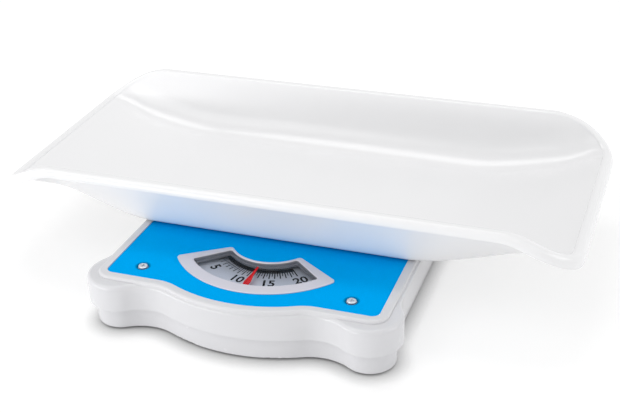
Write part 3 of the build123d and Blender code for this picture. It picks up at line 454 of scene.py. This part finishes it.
@dataclass(frozen=True)
class SilverPaint(Surface):
    """Silver lacquer with fine flake on the window frame's lip, and a darker grey below it as
    painted shade.
    """

    roughness: float = 0.34
    metallic: float = 0.25
    flake_scale: float = 5200.0
    flake_depth: float = 0.004 * MM
    flake_shade: float = 0.9
    haze: float = 0.08
    haze_scale: float = 70.0
    lip_depth: float = 0.8 * MM
    lip_fade: float = 0.3 * MM
    # painted shade: the darker grey of the window's inner wall below the lip
    inside: Colour = (0.26, 0.27, 0.3)

    def shader(self, graph: Graph) -> Node:
        """Adds the lacquer's nodes.

        Args:
            graph: The material's graph.

        Returns:
            The shader.
        """
        flake = graph.cells(self.flake_scale)
        haze = graph.noise(self.haze_scale, detail=3.0)
        paint = graph.mix(flake, self.shade(), self.shade(self.flake_shade))
        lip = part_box("window_bezel")[1].z - self.lip_depth
        painted = graph.height().smooth(lip - self.lip_fade, lip)
        sockets = {
            # painted shade on the inner wall below the lip, silver lacquer above it
            "Base Color": graph.mix(painted, rgba(self.inside), paint),
            "Metallic": self.metallic,
            "Roughness": self.roughness + haze * self.haze,
            "Normal": graph.bump(flake, self.flake_depth),
        }
        return graph.principled(sockets)


@dataclass(frozen=True)
class BareMetal(Surface):
    """Metal with drawing or turning marks and slight tarnish."""

    roughness: float = 0.25
    stretch: tuple[float, float, float] = (1.0, 1.0, 1.0)
    mark_scale: float = 900.0
    mark_depth: float = 0.006 * MM
    mark_roughness: float = 0.12
    tarnish_scale: float = 45.0
    tarnish_shade: float = 0.82

    def shader(self, graph: Graph) -> Node:
        """Adds the metal's nodes.

        Args:
            graph: The material's graph.

        Returns:
            The shader.
        """
        marks = graph.noise(self.mark_scale, detail=3.0, stretch=self.stretch)
        tarnish = graph.noise(self.tarnish_scale, detail=4.0).smooth(low=0.4, high=0.75)
        sockets = {
            "Base Color": graph.mix(tarnish, self.shade(), self.shade(self.tarnish_shade)),
            "Metallic": 1.0,
            "Roughness": self.roughness + marks * self.mark_roughness,
            "Normal": graph.bump(marks, self.mark_depth),
        }
        return graph.principled(sockets)


@dataclass(frozen=True)
class SoftRubber(Surface):
    """Matt rubber with a dusty bloom."""

    roughness: float = 0.75
    bloom_scale: float = 120.0
    bloom_shade: float = 1.6
    bloom_roughness: float = 0.15
    grain_scale: float = 1500.0
    grain_depth: float = 0.02 * MM

    def shader(self, graph: Graph) -> Node:
        """Adds the rubber's nodes.

        Args:
            graph: The material's graph.

        Returns:
            The shader.
        """
        bloom = graph.noise(self.bloom_scale, detail=5.0)
        dusty = bloom.smooth(low=0.45, high=0.8)
        sockets = {
            "Base Color": graph.mix(dusty, self.shade(), self.shade(self.bloom_shade)),
            "Roughness": self.roughness + (bloom - 0.5) * self.bloom_roughness,
            "Normal": graph.bump(graph.noise(self.grain_scale), self.grain_depth),
        }
        return graph.principled(sockets)


@dataclass(frozen=True)
class PrintedFace(Surface):
    """Silk-screened dial face: silver-grey ink, with painted shade darker towards the dial's
    middle.
    """

    roughness: float = 0.5
    grain_scale: float = 2600.0
    grain_depth: float = 0.003 * MM
    grain_shade: float = 0.9
    grain_share: float = 0.3
    grain_roughness: float = 0.08
    cloud_scale: float = 30.0
    cloud_shade: float = 0.93
    cloud_share: float = 0.6
    # painted shade: the face darkens from light_radius in to dark_radius
    dark_radius: float = 42.0 * MM
    light_radius: float = 74.0 * MM
    dark_shade: float = 0.6

    def shader(self, graph: Graph) -> Node:
        """Adds the face's nodes.

        Args:
            graph: The material's graph.

        Returns:
            The shader.
        """
        grain = graph.noise(self.grain_scale)
        clouds = graph.noise(self.cloud_scale, detail=3.0)
        inked = graph.mix(clouds * self.cloud_share, self.shade(), self.shade(self.cloud_shade))
        even = graph.mix(grain * self.grain_share, inked, self.shade(self.grain_shade))
        low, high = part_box("dial_disc")
        # painted shade, darker towards the dial's middle
        light = graph.radius((low.y + high.y) / 2).smooth(self.dark_radius, self.light_radius)
        sockets = {
            "Base Color": graph.mix(light, self.shade(self.dark_shade), even),
            "Roughness": self.roughness + grain * self.grain_roughness,
            "Normal": graph.bump(grain, self.grain_depth),
        }
        return graph.principled(sockets)


@dataclass(frozen=True)
class ClearPane(Surface):
    """Thin clear plastic pane: sees through, with a gloss that grows at grazing angles."""

    roughness: float = 0.04
    ripple_scale: float = 35.0
    ripple_depth: float = 0.01 * MM
    gloss_straight: float = 0.012
    gloss_grazing: float = 0.6
    gloss_power: int = 5

    def shader(self, graph: Graph) -> Node:
        """Adds the pane's nodes.

        Args:
            graph: The material's graph.

        Returns:
            The shader.
        """
        ripple = graph.bump(graph.noise(self.ripple_scale), self.ripple_depth)
        sockets = {"Color": WHITE, "Roughness": self.roughness, "Normal": ripple}
        gloss = graph.node("ShaderNodeBsdfGlossy", None, sockets)
        through = graph.node("ShaderNodeBsdfTransparent", None, {"Color": self.shade()})
        facing = graph.value("ShaderNodeLayerWeight", None, {"Blend": 0.5}, "Facing")
        inside = graph.value("ShaderNodeNewGeometry", None, None, "Backfacing")
        grazing = self.gloss_grazing * facing**self.gloss_power
        share = (self.gloss_straight + grazing) * (1 - inside)
        return graph.blend(share, through, gloss)


@dataclass(frozen=True)
class StudioPaper(Surface):
    """White paper that the camera sees almost white, with the object's shadow kept; its glow
    carries painted contact shadow.
    """

    glow: float = 1.16
    glow_share: float = 0.55
    # painted contact shadow: how far and how strongly the glow darkens near the object
    contact_reach: float = 18.0 * MM
    contact_power: float = 1.5
    contact_samples: int = 8

    def shader(self, graph: Graph) -> Node:
        """Adds the paper's nodes.

        Args:
            graph: The material's graph.

        Returns:
            The shader.
        """
        paper = graph.node("ShaderNodeBsdfDiffuse", None, {"Color": self.shade()})
        settings = {"samples": self.contact_samples}
        sockets = {"Distance": self.contact_reach}
        # painted contact shadow: ambient occlusion darkens the paper's glow under the object
        open_share = graph.value("ShaderNodeAmbientOcclusion", settings, sockets, "AO")
        white = graph.mix(open_share**self.contact_power, BLACK, WHITE)
        glow = graph.node("ShaderNodeEmission", None, {"Color": white, "Strength": self.glow})
        return graph.blend(graph.seen() * self.glow_share, paper, glow)


class Finish(Enum):
    """Every finish on the object."""

    TRAY = PolishedPlastic(
        "tray_white",
        (0.86, 0.86, 0.868),
        roughness=0.2,
        grain_depth=0.001 * MM,
        grain_scale=400.0,
        cloud=0.015,
    )
    COVER = PolishedPlastic("cover_white", (0.68, 0.68, 0.7), roughness=0.22)
    BASE = PolishedPlastic("base_white", (0.67, 0.67, 0.69), roughness=0.26)
    MAT = NonSlipSheet("mat_blue", from_screen(0, 170, 246))
    BEZEL = SilverPaint("bezel_silver", from_screen(216, 213, 220))
    LENS = ClearPane("lens_clear", (0.95, 0.955, 0.965))
    POINTER = MouldedPlastic("pointer_red", (0.85, 0.0, 0.0), roughness=0.5, specular=0.1)
    DIAL = PrintedFace("dial_face", from_screen(206, 210, 219))
    INK = MouldedPlastic("dial_ink", (0.003, 0.003, 0.004), roughness=0.6, specular=0.1)
    SCREW = BareMetal("screw_chrome", (0.62, 0.64, 0.67), roughness=0.4)
    SHEET_STEEL = BareMetal(
        "steel_plate", (0.56, 0.56, 0.58), roughness=0.34, stretch=(1.0, 0.08, 1.0)
    )
    BRIGHT_STEEL = BareMetal("steel_bright", (0.66, 0.66, 0.68), roughness=0.2)
    SPRING = BareMetal("spring_steel", (0.42, 0.42, 0.44), roughness=0.28)
    BRASS = BareMetal("brass_part", (0.72, 0.52, 0.22), roughness=0.24)
    NYLON = MouldedPlastic("inner_plastic", (0.72, 0.72, 0.68), roughness=0.45)
    KNOB = MouldedPlastic("knob_black", (0.02, 0.02, 0.021), roughness=0.42)
    FOOT = SoftRubber("rubber_black", (0.016, 0.016, 0.016))
    PAD = SoftRubber("pad_rubber", (0.42, 0.42, 0.42), roughness=0.7)

    def material(self) -> bpy.types.Material:
        """Returns the finish's one material."""
        return self.value.material()


SHARP_ANGLE = math.radians(35)


def put(
    source: bmesh.types.BMesh, name: str, finish: Finish, body: str
) -> bpy.types.Object:
    """Turns a bmesh into a dressed piece that rides on a body.

    Args:
        source: The finished bmesh, which is freed.
        name: The piece's name.
        finish: Its finish.
        body: The body that it moves with.

    Returns:
        The new object.
    """
    mesh = bpy.data.meshes.new(name)
    source.to_mesh(mesh)
    source.free()
    mesh.polygons.foreach_set("use_smooth", [True] * len(mesh.polygons))
    mesh.set_sharp_from_angle(angle=SHARP_ANGLE)
    piece = bpy.data.objects.new(name, mesh)
    bpy.context.scene.collection.objects.link(piece)
    piece.data.materials.append(finish.material())
    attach(piece, body)
    LOG.info("%s: %d faces on %s", name, len(mesh.polygons), body)
    return piece


def dress(nodes: Iterable[str], finish: Finish) -> None:
    """Gives CAD nodes a finish in all their material slots.

    Args:
        nodes: The nodes' names.
        finish: Their finish.
    """
    for node in nodes:
        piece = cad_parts[node]
        for place in piece.material_slots:
            place.material = finish.material()
        if not piece.material_slots:
            piece.data.materials.append(finish.material())
        LOG.info("%s: %s", node, finish.value.name)


@dataclass
class ScoopTray:
    """White scoop with a flanged rim that drops towards both ends."""

    end_clearance: float = 1.75 * MM
    side_clearance: float = 0.1 * MM
    corner_radius: float = 43.0 * MM
    taper: float = 0.008
    thickness: float = 2.6 * MM
    edge_round: float = 0.6 * MM
    edge_segments: int = 2
    edge_angle: float = math.radians(50)

    rim_height: float = 60.9 * MM
    end_drop: float = 27.5 * MM
    droop_start: float = 221.0 * MM
    droop_power: float = 1.7
    floor_height: float = 4.1 * MM
    floor_half_length: float = 150.0 * MM
    ramp_power: float = 1.7
    wall_run: float = 0.385
    front_spread: float = 0.75
    spread_start: float = 130.0 * MM
    spread_end: float = 250.0 * MM
    spread_power: float = 1.4
    front_crease: float = 12.0 * MM
    rear_crease: float = 42.0 * MM
    crease_share: float = 0.75

    flange: float = 10.5 * MM
    bead_rise: float = 1.8 * MM
    bead_run: float = 3.0 * MM
    bead_steps: int = 5
    crown: float = 3.0 * MM
    roll_drop: float = 6.5 * MM
    roll_steps: int = 8
    skirt: float = 1.5 * MM
    end_deepening: float = 0.6

    across: int = 96
    along: int = 190
    half_length: float = field(init=False, default=0.0)
    half_width: float = field(init=False, default=0.0)

    @property
    def inner_x(self) -> float:
        """Half the length inside the flange."""
        return self.half_length - self.flange

    @property
    def inner_y(self) -> float:
        """Half the width inside the flange."""
        return self.half_width - self.flange

    @property
    def inner_radius(self) -> float:
        """Corner radius inside the flange."""
        return self.corner_radius - self.flange

    @property
    def crest_inset(self) -> float:
        """Distance from the rim's outer line to its crest."""
        return self.flange - self.bead_run - self.crown

    def tapered(self, x: float, y: float) -> float:
        """Returns x once the rear side is made a little longer than the front one."""
        return x * (1 + self.taper * y / self.half_width)

    def droop(self, x: float) -> float:
        """Returns how far along the rim's fall x is: 0 before it, 1 at the end's crest."""
        end = self.half_length - self.crest_inset
        return max(0.0, abs(x) - self.droop_start) / (end - self.droop_start)

    def rim_z(self, x: float) -> float:
        """Returns the rim's height above the mat at x."""
        return self.rim_height - self.end_drop * self.droop(x) ** self.droop_power

    def wall_top(self, x: float) -> float:
        """Returns the height at which the walls meet the bead, at x on its inner line."""
        past = max(0.0, abs(x) - self.inner_x + self.inner_radius) / self.inner_radius
        return self.rim_z(abs(x) + (self.bead_run + self.crown) * past) - self.bead_rise

    def run(self, x: float, y: float) -> float:
        """Returns the long walls' run for each unit of rise.

        Args:
            x: The place along the tray.
            y: The place across it; the front wall, where it is negative, spreads at its ends.

        Returns:
            The run over the rise.
        """
        if y >= 0:
            return self.wall_run
        share = (abs(x) - self.spread_start) / (self.spread_end - self.spread_start)
        return self.wall_run + self.front_spread * max(0.0, share) ** self.spread_power

    def reach(self, place: float, half_along: float, half_across: float) -> float:
        """Returns how far the bead's inner line lies from an axis.

        Args:
            place: The distance along the axis.
            half_along: Half the size along the axis.
            half_across: Half the size across it.

        Returns:
            The distance across the axis.
        """
        past = min(self.inner_radius, max(0.0, abs(place) - half_along + self.inner_radius))
        return half_across - self.inner_radius + math.sqrt(self.inner_radius**2 - past**2)

    def ramp_z(self, x: float, y: float) -> float:
        """Returns the height of the floor, which climbs to the bead at both ends.

        Args:
            x: The place along the tray.
            y: The place across it.

        Returns:
            The height above the mat.
        """
        end = self.reach(y, self.inner_y, self.inner_x)
        share = (abs(x) - self.floor_half_length) / (end - self.floor_half_length)
        rise = self.wall_top(end) - self.floor_height
        return self.floor_height + rise * min(1.0, max(0.0, share)) ** self.ramp_power

    def inside_z(self, x: float, y: float) -> float:
        """Returns the inner surface's height, with the creases rounded.

        Args:
            x: The place along the tray.
            y: The place across it.

        Returns:
            The height above the mat.
        """
        low = self.ramp_z(x, y)
        top = self.wall_top(x)
        wall = top - (self.reach(x, self.inner_x, self.inner_y) - abs(y)) / self.run(x, y)
        room = self.crease_share * max(0.0, top - low)
        if y > 0:
            return self.rounded(low, wall, room)
        bend = min(self.front_crease, room)
        gap = abs(wall - low)
        if gap >= bend:
            return max(wall, low)
        return max(wall, low) + (bend - gap) ** 2 / (4 * bend)

    def rounded(self, low: float, wall: float, room: float) -> float:
        """Returns the height where an arc joins the floor to the rear wall.

        Args:
            low: The floor's height.
            wall: The flat wall's height, below the floor's in front of the wall.
            room: How far up the wall the arc may reach.

        Returns:
            The height of the floor, the arc or the wall.
        """
        tilt = math.atan(1 / self.wall_run)
        reach = soft_least(self.rear_crease * math.tan(tilt / 2), room / math.sin(tilt))
        past = (wall - low) * self.wall_run
        if past <= -reach:
            return low
        if past >= reach * math.cos(tilt):
            return wall
        radius = reach / math.tan(tilt / 2)
        return low + radius - math.sqrt(radius**2 - (past + reach) ** 2)

    def edge(self, share: float, half_long: float, half_short: float) -> tuple[float, float]:
        """Returns the point on one edge of the rounded rectangle inside the flange.

        Args:
            share: From -1 to 1, corner's middle to corner's middle.
            half_long: Half the size along the edge.
            half_short: Half the size across the edge.

        Returns:
            The place along the edge, and its distance out from the middle.
        """
        radius = self.inner_radius
        straight = half_long - radius
        run = abs(share) * (straight + radius * math.pi / 4)
        if run <= straight:
            return math.copysign(run, share), half_short
        turn = (run - straight) / radius
        along = straight + radius * math.sin(turn)
        return math.copysign(along, share), half_short - radius + radius * math.cos(turn)

    def plan(self, u: float, v: float) -> tuple[float, float]:
        """Bends a square into the rounded rectangle inside the flange.

        Args:
            u: The point's place along the tray's length, from -1 to 1.
            v: Its place along the width, from -1 to 1.

        Returns:
            The place in plan, from the tray's middle.
        """
        along, side = self.edge(u, self.inner_x, self.inner_y)
        across, end = self.edge(v, self.inner_y, self.inner_x)
        diagonal = self.inner_radius * (1 - math.sqrt(0.5))
        x = along + u * (end - (self.inner_x - diagonal))
        y = across + v * (side - (self.inner_y - diagonal))
        return x, y

    def outward(self, x: float, y: float) -> Vector:
        """Returns the rim's outward direction in plan.

        Args:
            x: A place on the edge, along the tray.
            y: The same place's distance across it.

        Returns:
            The direction, of length 1.
        """
        past_x = max(0.0, abs(x) - self.inner_x + self.inner_radius)
        past_y = max(0.0, abs(y) - self.inner_y + self.inner_radius)
        return Vector((math.copysign(past_x, x), math.copysign(past_y, y), 0.0)).normalized()

    def steps(self) -> list[tuple[float, float]]:
        """Returns the rim's section, from the wall over the bead and down the skirt.

        Returns:
            One step, outwards and upwards, for each ring of faces.
        """
        section = [(0.0, 0.0)]
        for step in range(1, self.bead_steps + 1):
            angle = math.pi / 2 * step / self.bead_steps
            out = self.bead_run * (1 - math.cos(angle))
            section.append((out, self.bead_rise * math.sin(angle)))
        level = self.bead_run + self.crown
        fall = self.flange - level
        for step in range(self.roll_steps + 1):
            angle = math.pi / 2 * step / self.roll_steps
            drop = self.roll_drop * (1 - math.cos(angle))
            section.append((level + fall * math.sin(angle), self.bead_rise - drop))
        out, lowest = section[-1]
        section.append((out, lowest - self.skirt))
        return [(b[0] - a[0], b[1] - a[1]) for a, b in zip(section, section[1:])]

    def shell(self) -> bmesh.types.BMesh:
        """Makes the inner surface with its bead and skirt.

        Returns:
            The surface, as an open sheet.
        """
        sheet = bmesh.new()
        bmesh.ops.create_grid(sheet, x_segments=self.along, y_segments=self.across, size=1.0)
        away = sheet.verts.layers.float_vector.new("away")
        depth = sheet.verts.layers.float.new("depth")
        for vert in sheet.verts:
            x, y = self.plan(vert.co.x, vert.co.y)
            vert.co = Vector((x, y, self.inside_z(x, y)))
        ring = [edge for edge in sheet.edges if edge.is_boundary]
        for vert in {vert for edge in ring for vert in edge.verts}:
            vert[away] = self.outward(vert.co.x, vert.co.y)
            vert[depth] = 1 + self.end_deepening * min(1.0, self.droop(vert.co.x))
            vert.co.z = self.wall_top(vert.co.x)
        for out, up in self.steps():
            made = bmesh.ops.extrude_edge_only(sheet, edges=ring)
            ring = [item for item in made["geom"] if isinstance(item, bmesh.types.BMEdge)]
            for vert in {vert for edge in ring for vert in edge.verts}:
                rise = up * vert[depth] if up < 0 else up
                vert.co += vert[away] * out + Vector((0.0, 0.0, rise))
        for vert in sheet.verts:
            vert.co.x = self.tapered(vert.co.x, vert.co.y)
        bmesh.ops.recalc_face_normals(sheet, faces=sheet.faces)
        if sum(face.normal.z * face.calc_area() for face in sheet.faces) < 0:
            bmesh.ops.reverse_faces(sheet, faces=sheet.faces)
        return sheet

    def build(self) -> None:
        """Makes the tray in place of the CAD one."""
        low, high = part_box("tray")
        self.half_length = (high.x - low.x) / 2 - self.end_clearance
        self.half_width = (high.y - low.y) / 2 - self.side_clearance
        centre = on_axis(low, high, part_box("top_mat")[1].z)
        sheet = self.shell()
        bmesh.ops.translate(sheet, verts=sheet.verts, vec=centre)
        piece = put(sheet, "tray_scoop", Finish.TRAY, "tray_top")
        wall = piece.modifiers.new("wall", "SOLIDIFY")
        wall.thickness = self.thickness
        wall.offset = -1.0
        wall.use_even_offset = True
        edge = piece.modifiers.new("edge", "BEVEL")
        edge.width = self.edge_round
        edge.segments = self.edge_segments
        edge.limit_method = "ANGLE"
        edge.angle_limit = self.edge_angle
        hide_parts("tray")
        dress(["tray_pads"], Finish.PAD)


@dataclass(frozen=True)
class Tick:
    """One kind of line on the dial, which stands at every so many marks."""

    every: int
    length: float
    width: float


def tick_at(count: int, ticks: Iterable[Tick]) -> Tick:
    """Returns the first kind of line that stands at a mark."""
    return next(tick for tick in ticks if count % tick.every == 0)


@dataclass
class Dial:
    """Numbered face that turns under the fixed pointer."""

    degrees_per_kg: float = 5.34
    rest_reading: float = 12.4
    full_load: int = 20
    lift: float = 0.05 * MM

    number_step: int = 5
    number_radius: float = 65.5 * MM
    number_height: float = 9.9 * MM
    number_thickening: float = 0.4 * MM
    font_size: float = 1.38  # over a number's height

    ring_radius: float = 43.0 * MM
    ring_width: float = 0.5 * MM
    ring_pieces: int = 120
    ring_overlap: float = 1.05

    marks_per_kg: int = 10
    outer_ticks: tuple[Tick, ...] = (
        Tick(10, 14.5 * MM, 1.12 * MM),
        Tick(5, 10.5 * MM, 0.84 * MM),
        Tick(1, 5.5 * MM, 0.42 * MM),
    )
    pound: float = 0.4536  # kilograms in one mark of the inner scale
    inner_gap: float = 1.2 * MM
    inner_ticks: tuple[Tick, ...] = (
        Tick(5, 8.0 * MM, 1.05 * MM),
        Tick(1, 5.0 * MM, 0.56 * MM),
    )

    def angle(self, load: float) -> float:
        """Returns the angle from -Y, towards +X, of a load's mark at rest."""
        return math.radians((load - self.rest_reading) * self.degrees_per_kg)

    def at(self, load: float, radius: float) -> Matrix:
        """Returns the turn and place of a mark on the face.

        Args:
            load: The load that the mark stands for, in kilograms.
            radius: The mark's distance from the dial's axis.

        Returns:
            The matrix that takes a flat mark from the origin to its place.
        """
        low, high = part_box("dial_disc")
        centre = on_axis(low, high, high.z + self.lift)
        turn = Matrix.Rotation(self.angle(load), 4, "Z")
        return Matrix.Translation(centre) @ turn @ Matrix.Translation((0.0, -radius, 0.0))

    def line(
        self, ink: bmesh.types.BMesh, load: float, start: float, length: float, width: float
    ) -> None:
        """Adds one line that runs outwards.

        Args:
            ink: The mesh that it joins.
            load: The load at which it stands.
            start: The radius at its inner end.
            length: Its length.
            width: Its width.
        """
        made = bmesh.ops.create_grid(ink, x_segments=1, y_segments=1, size=0.5)
        bmesh.ops.scale(ink, verts=made["verts"], vec=(width, length, 1.0))
        bmesh.ops.transform(ink, verts=made["verts"], matrix=self.at(load, start + length / 2))

    def marks(self) -> bmesh.types.BMesh:
        """Draws both scales and the ring between them.

        Returns:
            Every line on the face.
        """
        ink = bmesh.new()
        for count in range(self.full_load * self.marks_per_kg + 1):
            tick = tick_at(count, self.outer_ticks)
            load = count / self.marks_per_kg
            self.line(ink, load, self.ring_radius, tick.length, tick.width)
        for count in range(int(self.full_load / self.pound) + 1):
            tick = tick_at(count, self.inner_ticks)
            start = self.ring_radius - self.inner_gap - tick.length
            self.line(ink, count * self.pound, start, tick.length, tick.width)
        load_each = self.full_load / self.ring_pieces
        arc = self.ring_radius * math.radians(self.degrees_per_kg) * load_each
        start = self.ring_radius - self.ring_width / 2
        for count in range(self.ring_pieces):
            load = load_each * (count + 0.5)
            self.line(ink, load, start, self.ring_width, arc * self.ring_overlap)
        return ink

    def number(self, load: int) -> bmesh.types.BMesh:
        """Prints one number.

        Args:
            load: The number, and the load at which it stands.

        Returns:
            The number as a flat mesh.
        """
        curve = bpy.data.curves.new(f"number_{load}", "FONT")
        curve.body = str(load)
        curve.size = self.number_height * self.font_size
        curve.align_x = curve.align_y = "CENTER"
        curve.offset = self.number_thickening
        words = bpy.data.objects.new(f"number_{load}", curve)
        bpy.context.scene.collection.objects.link(words)
        bpy.context.view_layer.update()
        mesh = bpy.data.meshes.new_from_object(words)
        ink = bmesh.new()
        ink.from_mesh(mesh)
        bmesh.ops.transform(ink, verts=ink.verts, matrix=self.at(load, self.number_radius))
        bpy.data.objects.remove(words)
        bpy.data.curves.remove(curve)
        bpy.data.meshes.remove(mesh)
        return ink

    def build(self) -> None:
        """Prints the face's lines and numbers."""
        put(self.marks(), "dial_marks", Finish.INK, "dial")
        for load in range(0, self.full_load + 1, self.number_step):
            put(self.number(load), f"dial_number_{load}", Finish.INK, "dial")
        dress(["dial_disc"], Finish.DIAL)
        dress(["dial_hub", "hub_cap"], Finish.BRASS)
        dress(["pinion_shaft"], Finish.BRIGHT_STEEL)


@dataclass
class MainSpring:
    """Close-wound steel spring between the crank and the zero yoke."""

    wire: float = 1.6 * MM
    front_hook: float = 5.0 * MM
    rear_hook: float = 6.0 * MM
    pitch: float = 1.85 * MM
    end_turns: float = 0.75
    steps_per_turn: int = 16
    sides: int = 12

    def path(self) -> list[Vector]:
        """Returns the wire's line: a straight hook, the coil, a straight hook.

        Returns:
            The points from the crank's end to the yoke's, round the CAD spring's axis.
        """
        low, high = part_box("main_spring")
        axis = (low + high) / 2
        radius = (high.x - low.x - self.wire) / 2
        start = low.y + self.front_hook
        length = high.y - self.rear_hook - start
        turns = round(length / self.pitch)
        points = [Vector((axis.x, low.y, axis.z))]
        for step in range(turns * self.steps_per_turn + 1):
            turn = step / self.steps_per_turn
            opening = min(1.0, turn / self.end_turns, (turns - turn) / self.end_turns) * radius
            angle = 2 * math.pi * turn
            across = Vector((math.cos(angle), 0.0, math.sin(angle))) * opening
            points.append(Vector((axis.x, start + length * turn / turns, axis.z)) + across)
        points.append(Vector((axis.x, high.y, axis.z)))
        return points

    def coil(self) -> bmesh.types.BMesh:
        """Winds the wire along its path.

        Returns:
            The wire as a closed tube.
        """
        coil = bmesh.new()
        points = self.path()
        side = Vector((1.0, 0.0, 0.0))
        rings = []
        for point, before, after in zip(points, [points[0], *points], [*points[1:], points[-1]]):
            along = (after - before).normalized()
            side = (side - along * side.dot(along)).normalized()
            rise = along.cross(side)
            ring = []
            for corner in range(self.sides):
                angle = 2 * math.pi * corner / self.sides
                spoke = side * math.cos(angle) + rise * math.sin(angle)
                ring.append(coil.verts.new(point + spoke * self.wire / 2))
            rings.append(ring)
        for ring, following in zip(rings, rings[1:]):
            for corner in range(self.sides):
                beside = (corner + 1) % self.sides
                coil.faces.new((ring[corner], ring[beside], following[beside], following[corner]))
        coil.faces.new(rings[0][::-1])
        coil.faces.new(rings[-1])
        bmesh.ops.recalc_face_normals(coil, faces=coil.faces)
        return coil

    def build(self) -> None:
        """Winds the spring in place of its plain CAD tube."""
        piece = put(self.coil(), "main_spring_coil", Finish.SPRING, "base")
        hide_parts("main_spring")


@dataclass
class Platform:
    """Cover, mat and window of the weighing platform."""

    def build(self) -> None:
        """Dresses the platform's pieces."""
        dress(["platform_cover"], Finish.COVER)
        dress(["top_mat"], Finish.MAT)
        dress(["window_bezel"], Finish.BEZEL)
        dress(["window_lens"], Finish.LENS)
        dress(["pointer"], Finish.POINTER)
        dress(["cover_screws"], Finish.SCREW)
        dress(["load_frame", "load_posts"], Finish.SHEET_STEEL)


@dataclass
class Base:
    """Lower housing with everything fixed inside it."""

    def build(self) -> None:
        """Dresses the base's pieces."""
        dress(["base_shell"], Finish.BASE)
        dress(["rubber_feet"], Finish.FOOT)
        plates = ["chassis_plate", "fulcrum_brackets", "crank_bracket", "dial_bridge"]
        dress(plates, Finish.SHEET_STEEL)
        dress(["chassis_screws", "crank_pin", "bridge_screws"], Finish.BRIGHT_STEEL)
        dress(["shaft_bushes", "zero_bush"], Finish.BRASS)
        dress(["rack_guide", "yoke_rails"], Finish.NYLON)


@dataclass
class Movement:
    """Levers, crank, rack and the zero adjustment."""

    def build(self) -> None:
        """Dresses the moving pieces."""
        levers = ["long_lever_left", "long_lever_right", "short_lever_left", "short_lever_right"]
        dress([*levers, "bell_crank"], Finish.SHEET_STEEL)
        dress(["long_lever_pins", "short_lever_pins", "zero_screw"], Finish.BRIGHT_STEEL)
        dress(["rack", "zero_yoke"], Finish.BRASS)
        dress(["zero_knob"], Finish.KNOB)


@dataclass(frozen=True)
class SoftLamp:
    """Rectangular lamp that points at a height over the middle of the floor."""

    name: str
    place: tuple[float, float, float]
    size: tuple[float, float]
    power: float  # watts
    aim_height: float = 0.05

    def build(self) -> None:
        """Hangs the lamp in the scene."""
        light = bpy.data.lights.new(self.name, "AREA")
        light.shape = "RECTANGLE"
        light.size, light.size_y = self.size
        light.energy = self.power
        lamp = bpy.data.objects.new(self.name, light)
        bpy.context.scene.collection.objects.link(lamp)
        way = Vector((0.0, 0.0, self.aim_height)) - Vector(self.place)
        turn = way.to_track_quat("-Z", "Y").to_matrix().to_4x4()
        lamp.matrix_world = Matrix.Translation(self.place) @ turn


@dataclass
class Studio:
    """White paper, soft lamps and the camera."""

    focal_length: float = 64.70  # millimetres, as the sensor
    sensor: float = 36.0
    eye: Vector = field(default_factory=lambda: Vector((349.5, -854.92, 530.18)) * MM)
    sideways: Vector = field(default_factory=lambda: Vector((0.9432, 0.3311, -0.0268)))
    upwards: Vector = field(default_factory=lambda: Vector((-0.1343, 0.4540, 0.8809)))
    paper_half_size: float = 6.0
    paper_depth: float = 0.2 * MM
    ambient: float = 0.66
    backdrop: float = 1.0
    lamps: tuple[SoftLamp, ...] = (
        SoftLamp("overhead", (-0.3, 0.5, 1.8), (1.1, 0.6), 7.0),
        SoftLamp("left", (-1.1, -1.1, 1.9), (1.4, 1.0), 7.5),
        SoftLamp("right", (1.9, 0.0, 0.6), (1.2, 0.8), 8.0),
        SoftLamp("fill_card", (-1.7, -1.9, 0.13), (2.2, 0.22), 25.0, aim_height=0.075),
    )

    def camera(self) -> None:
        """Places the camera at the photograph's viewing angle, from the dial's centre."""
        dial = on_axis(*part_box("dial_disc"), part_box("top_mat")[1].z)
        right = self.sideways.normalized()
        up = (self.upwards - right * self.upwards.dot(right)).normalized()
        turn = Matrix((right, up, right.cross(up))).transposed().to_4x4()
        lens = bpy.data.cameras.new("studio_camera")
        lens.lens = self.focal_length
        lens.sensor_width = self.sensor
        camera = bpy.data.objects.new("studio_camera", lens)
        bpy.context.scene.collection.objects.link(camera)
        camera.matrix_world = Matrix.Translation(dial + self.eye) @ turn
        bpy.context.scene.camera = camera

    def paper(self) -> None:
        """Lays the white paper under the object."""
        sheet = bmesh.new()
        bmesh.ops.create_grid(sheet, x_segments=1, y_segments=1, size=self.paper_half_size)
        mesh = bpy.data.meshes.new("paper")
        sheet.to_mesh(mesh)
        sheet.free()
        paper = bpy.data.objects.new("paper", mesh)
        bpy.context.scene.collection.objects.link(paper)
        paper.location.z = -self.paper_depth
        mesh.materials.append(StudioPaper("paper_white", (0.94, 0.94, 0.94)).material())

    def world(self) -> None:
        """Lights everything from all round and shows white behind."""
        graph = Graph(bpy.data.worlds.new("studio"))
        kind = "ShaderNodeBackground"
        ambient = graph.node(kind, None, {"Color": WHITE, "Strength": self.ambient})
        backdrop = graph.node(kind, None, {"Color": WHITE, "Strength": self.backdrop})
        bpy.context.scene.world = graph.finish(graph.blend(graph.seen(), ambient, backdrop))

    def build(self) -> None:
        """Sets up the studio."""
        self.camera()
        self.world()
        self.paper()
        for lamp in self.lamps:
            lamp.build()
        bpy.context.scene.view_settings.view_transform = "Standard"


def main() -> None:
    """Builds the pieces and the studio."""
    logging.basicConfig(level=logging.INFO, format="%(name)s %(message)s")
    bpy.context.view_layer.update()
    ScoopTray().build()
    Dial().build()
    Platform().build()
    Base().build()
    Movement().build()
    MainSpring().build()
    Studio().build()


if __name__ == "__main__":
    main()
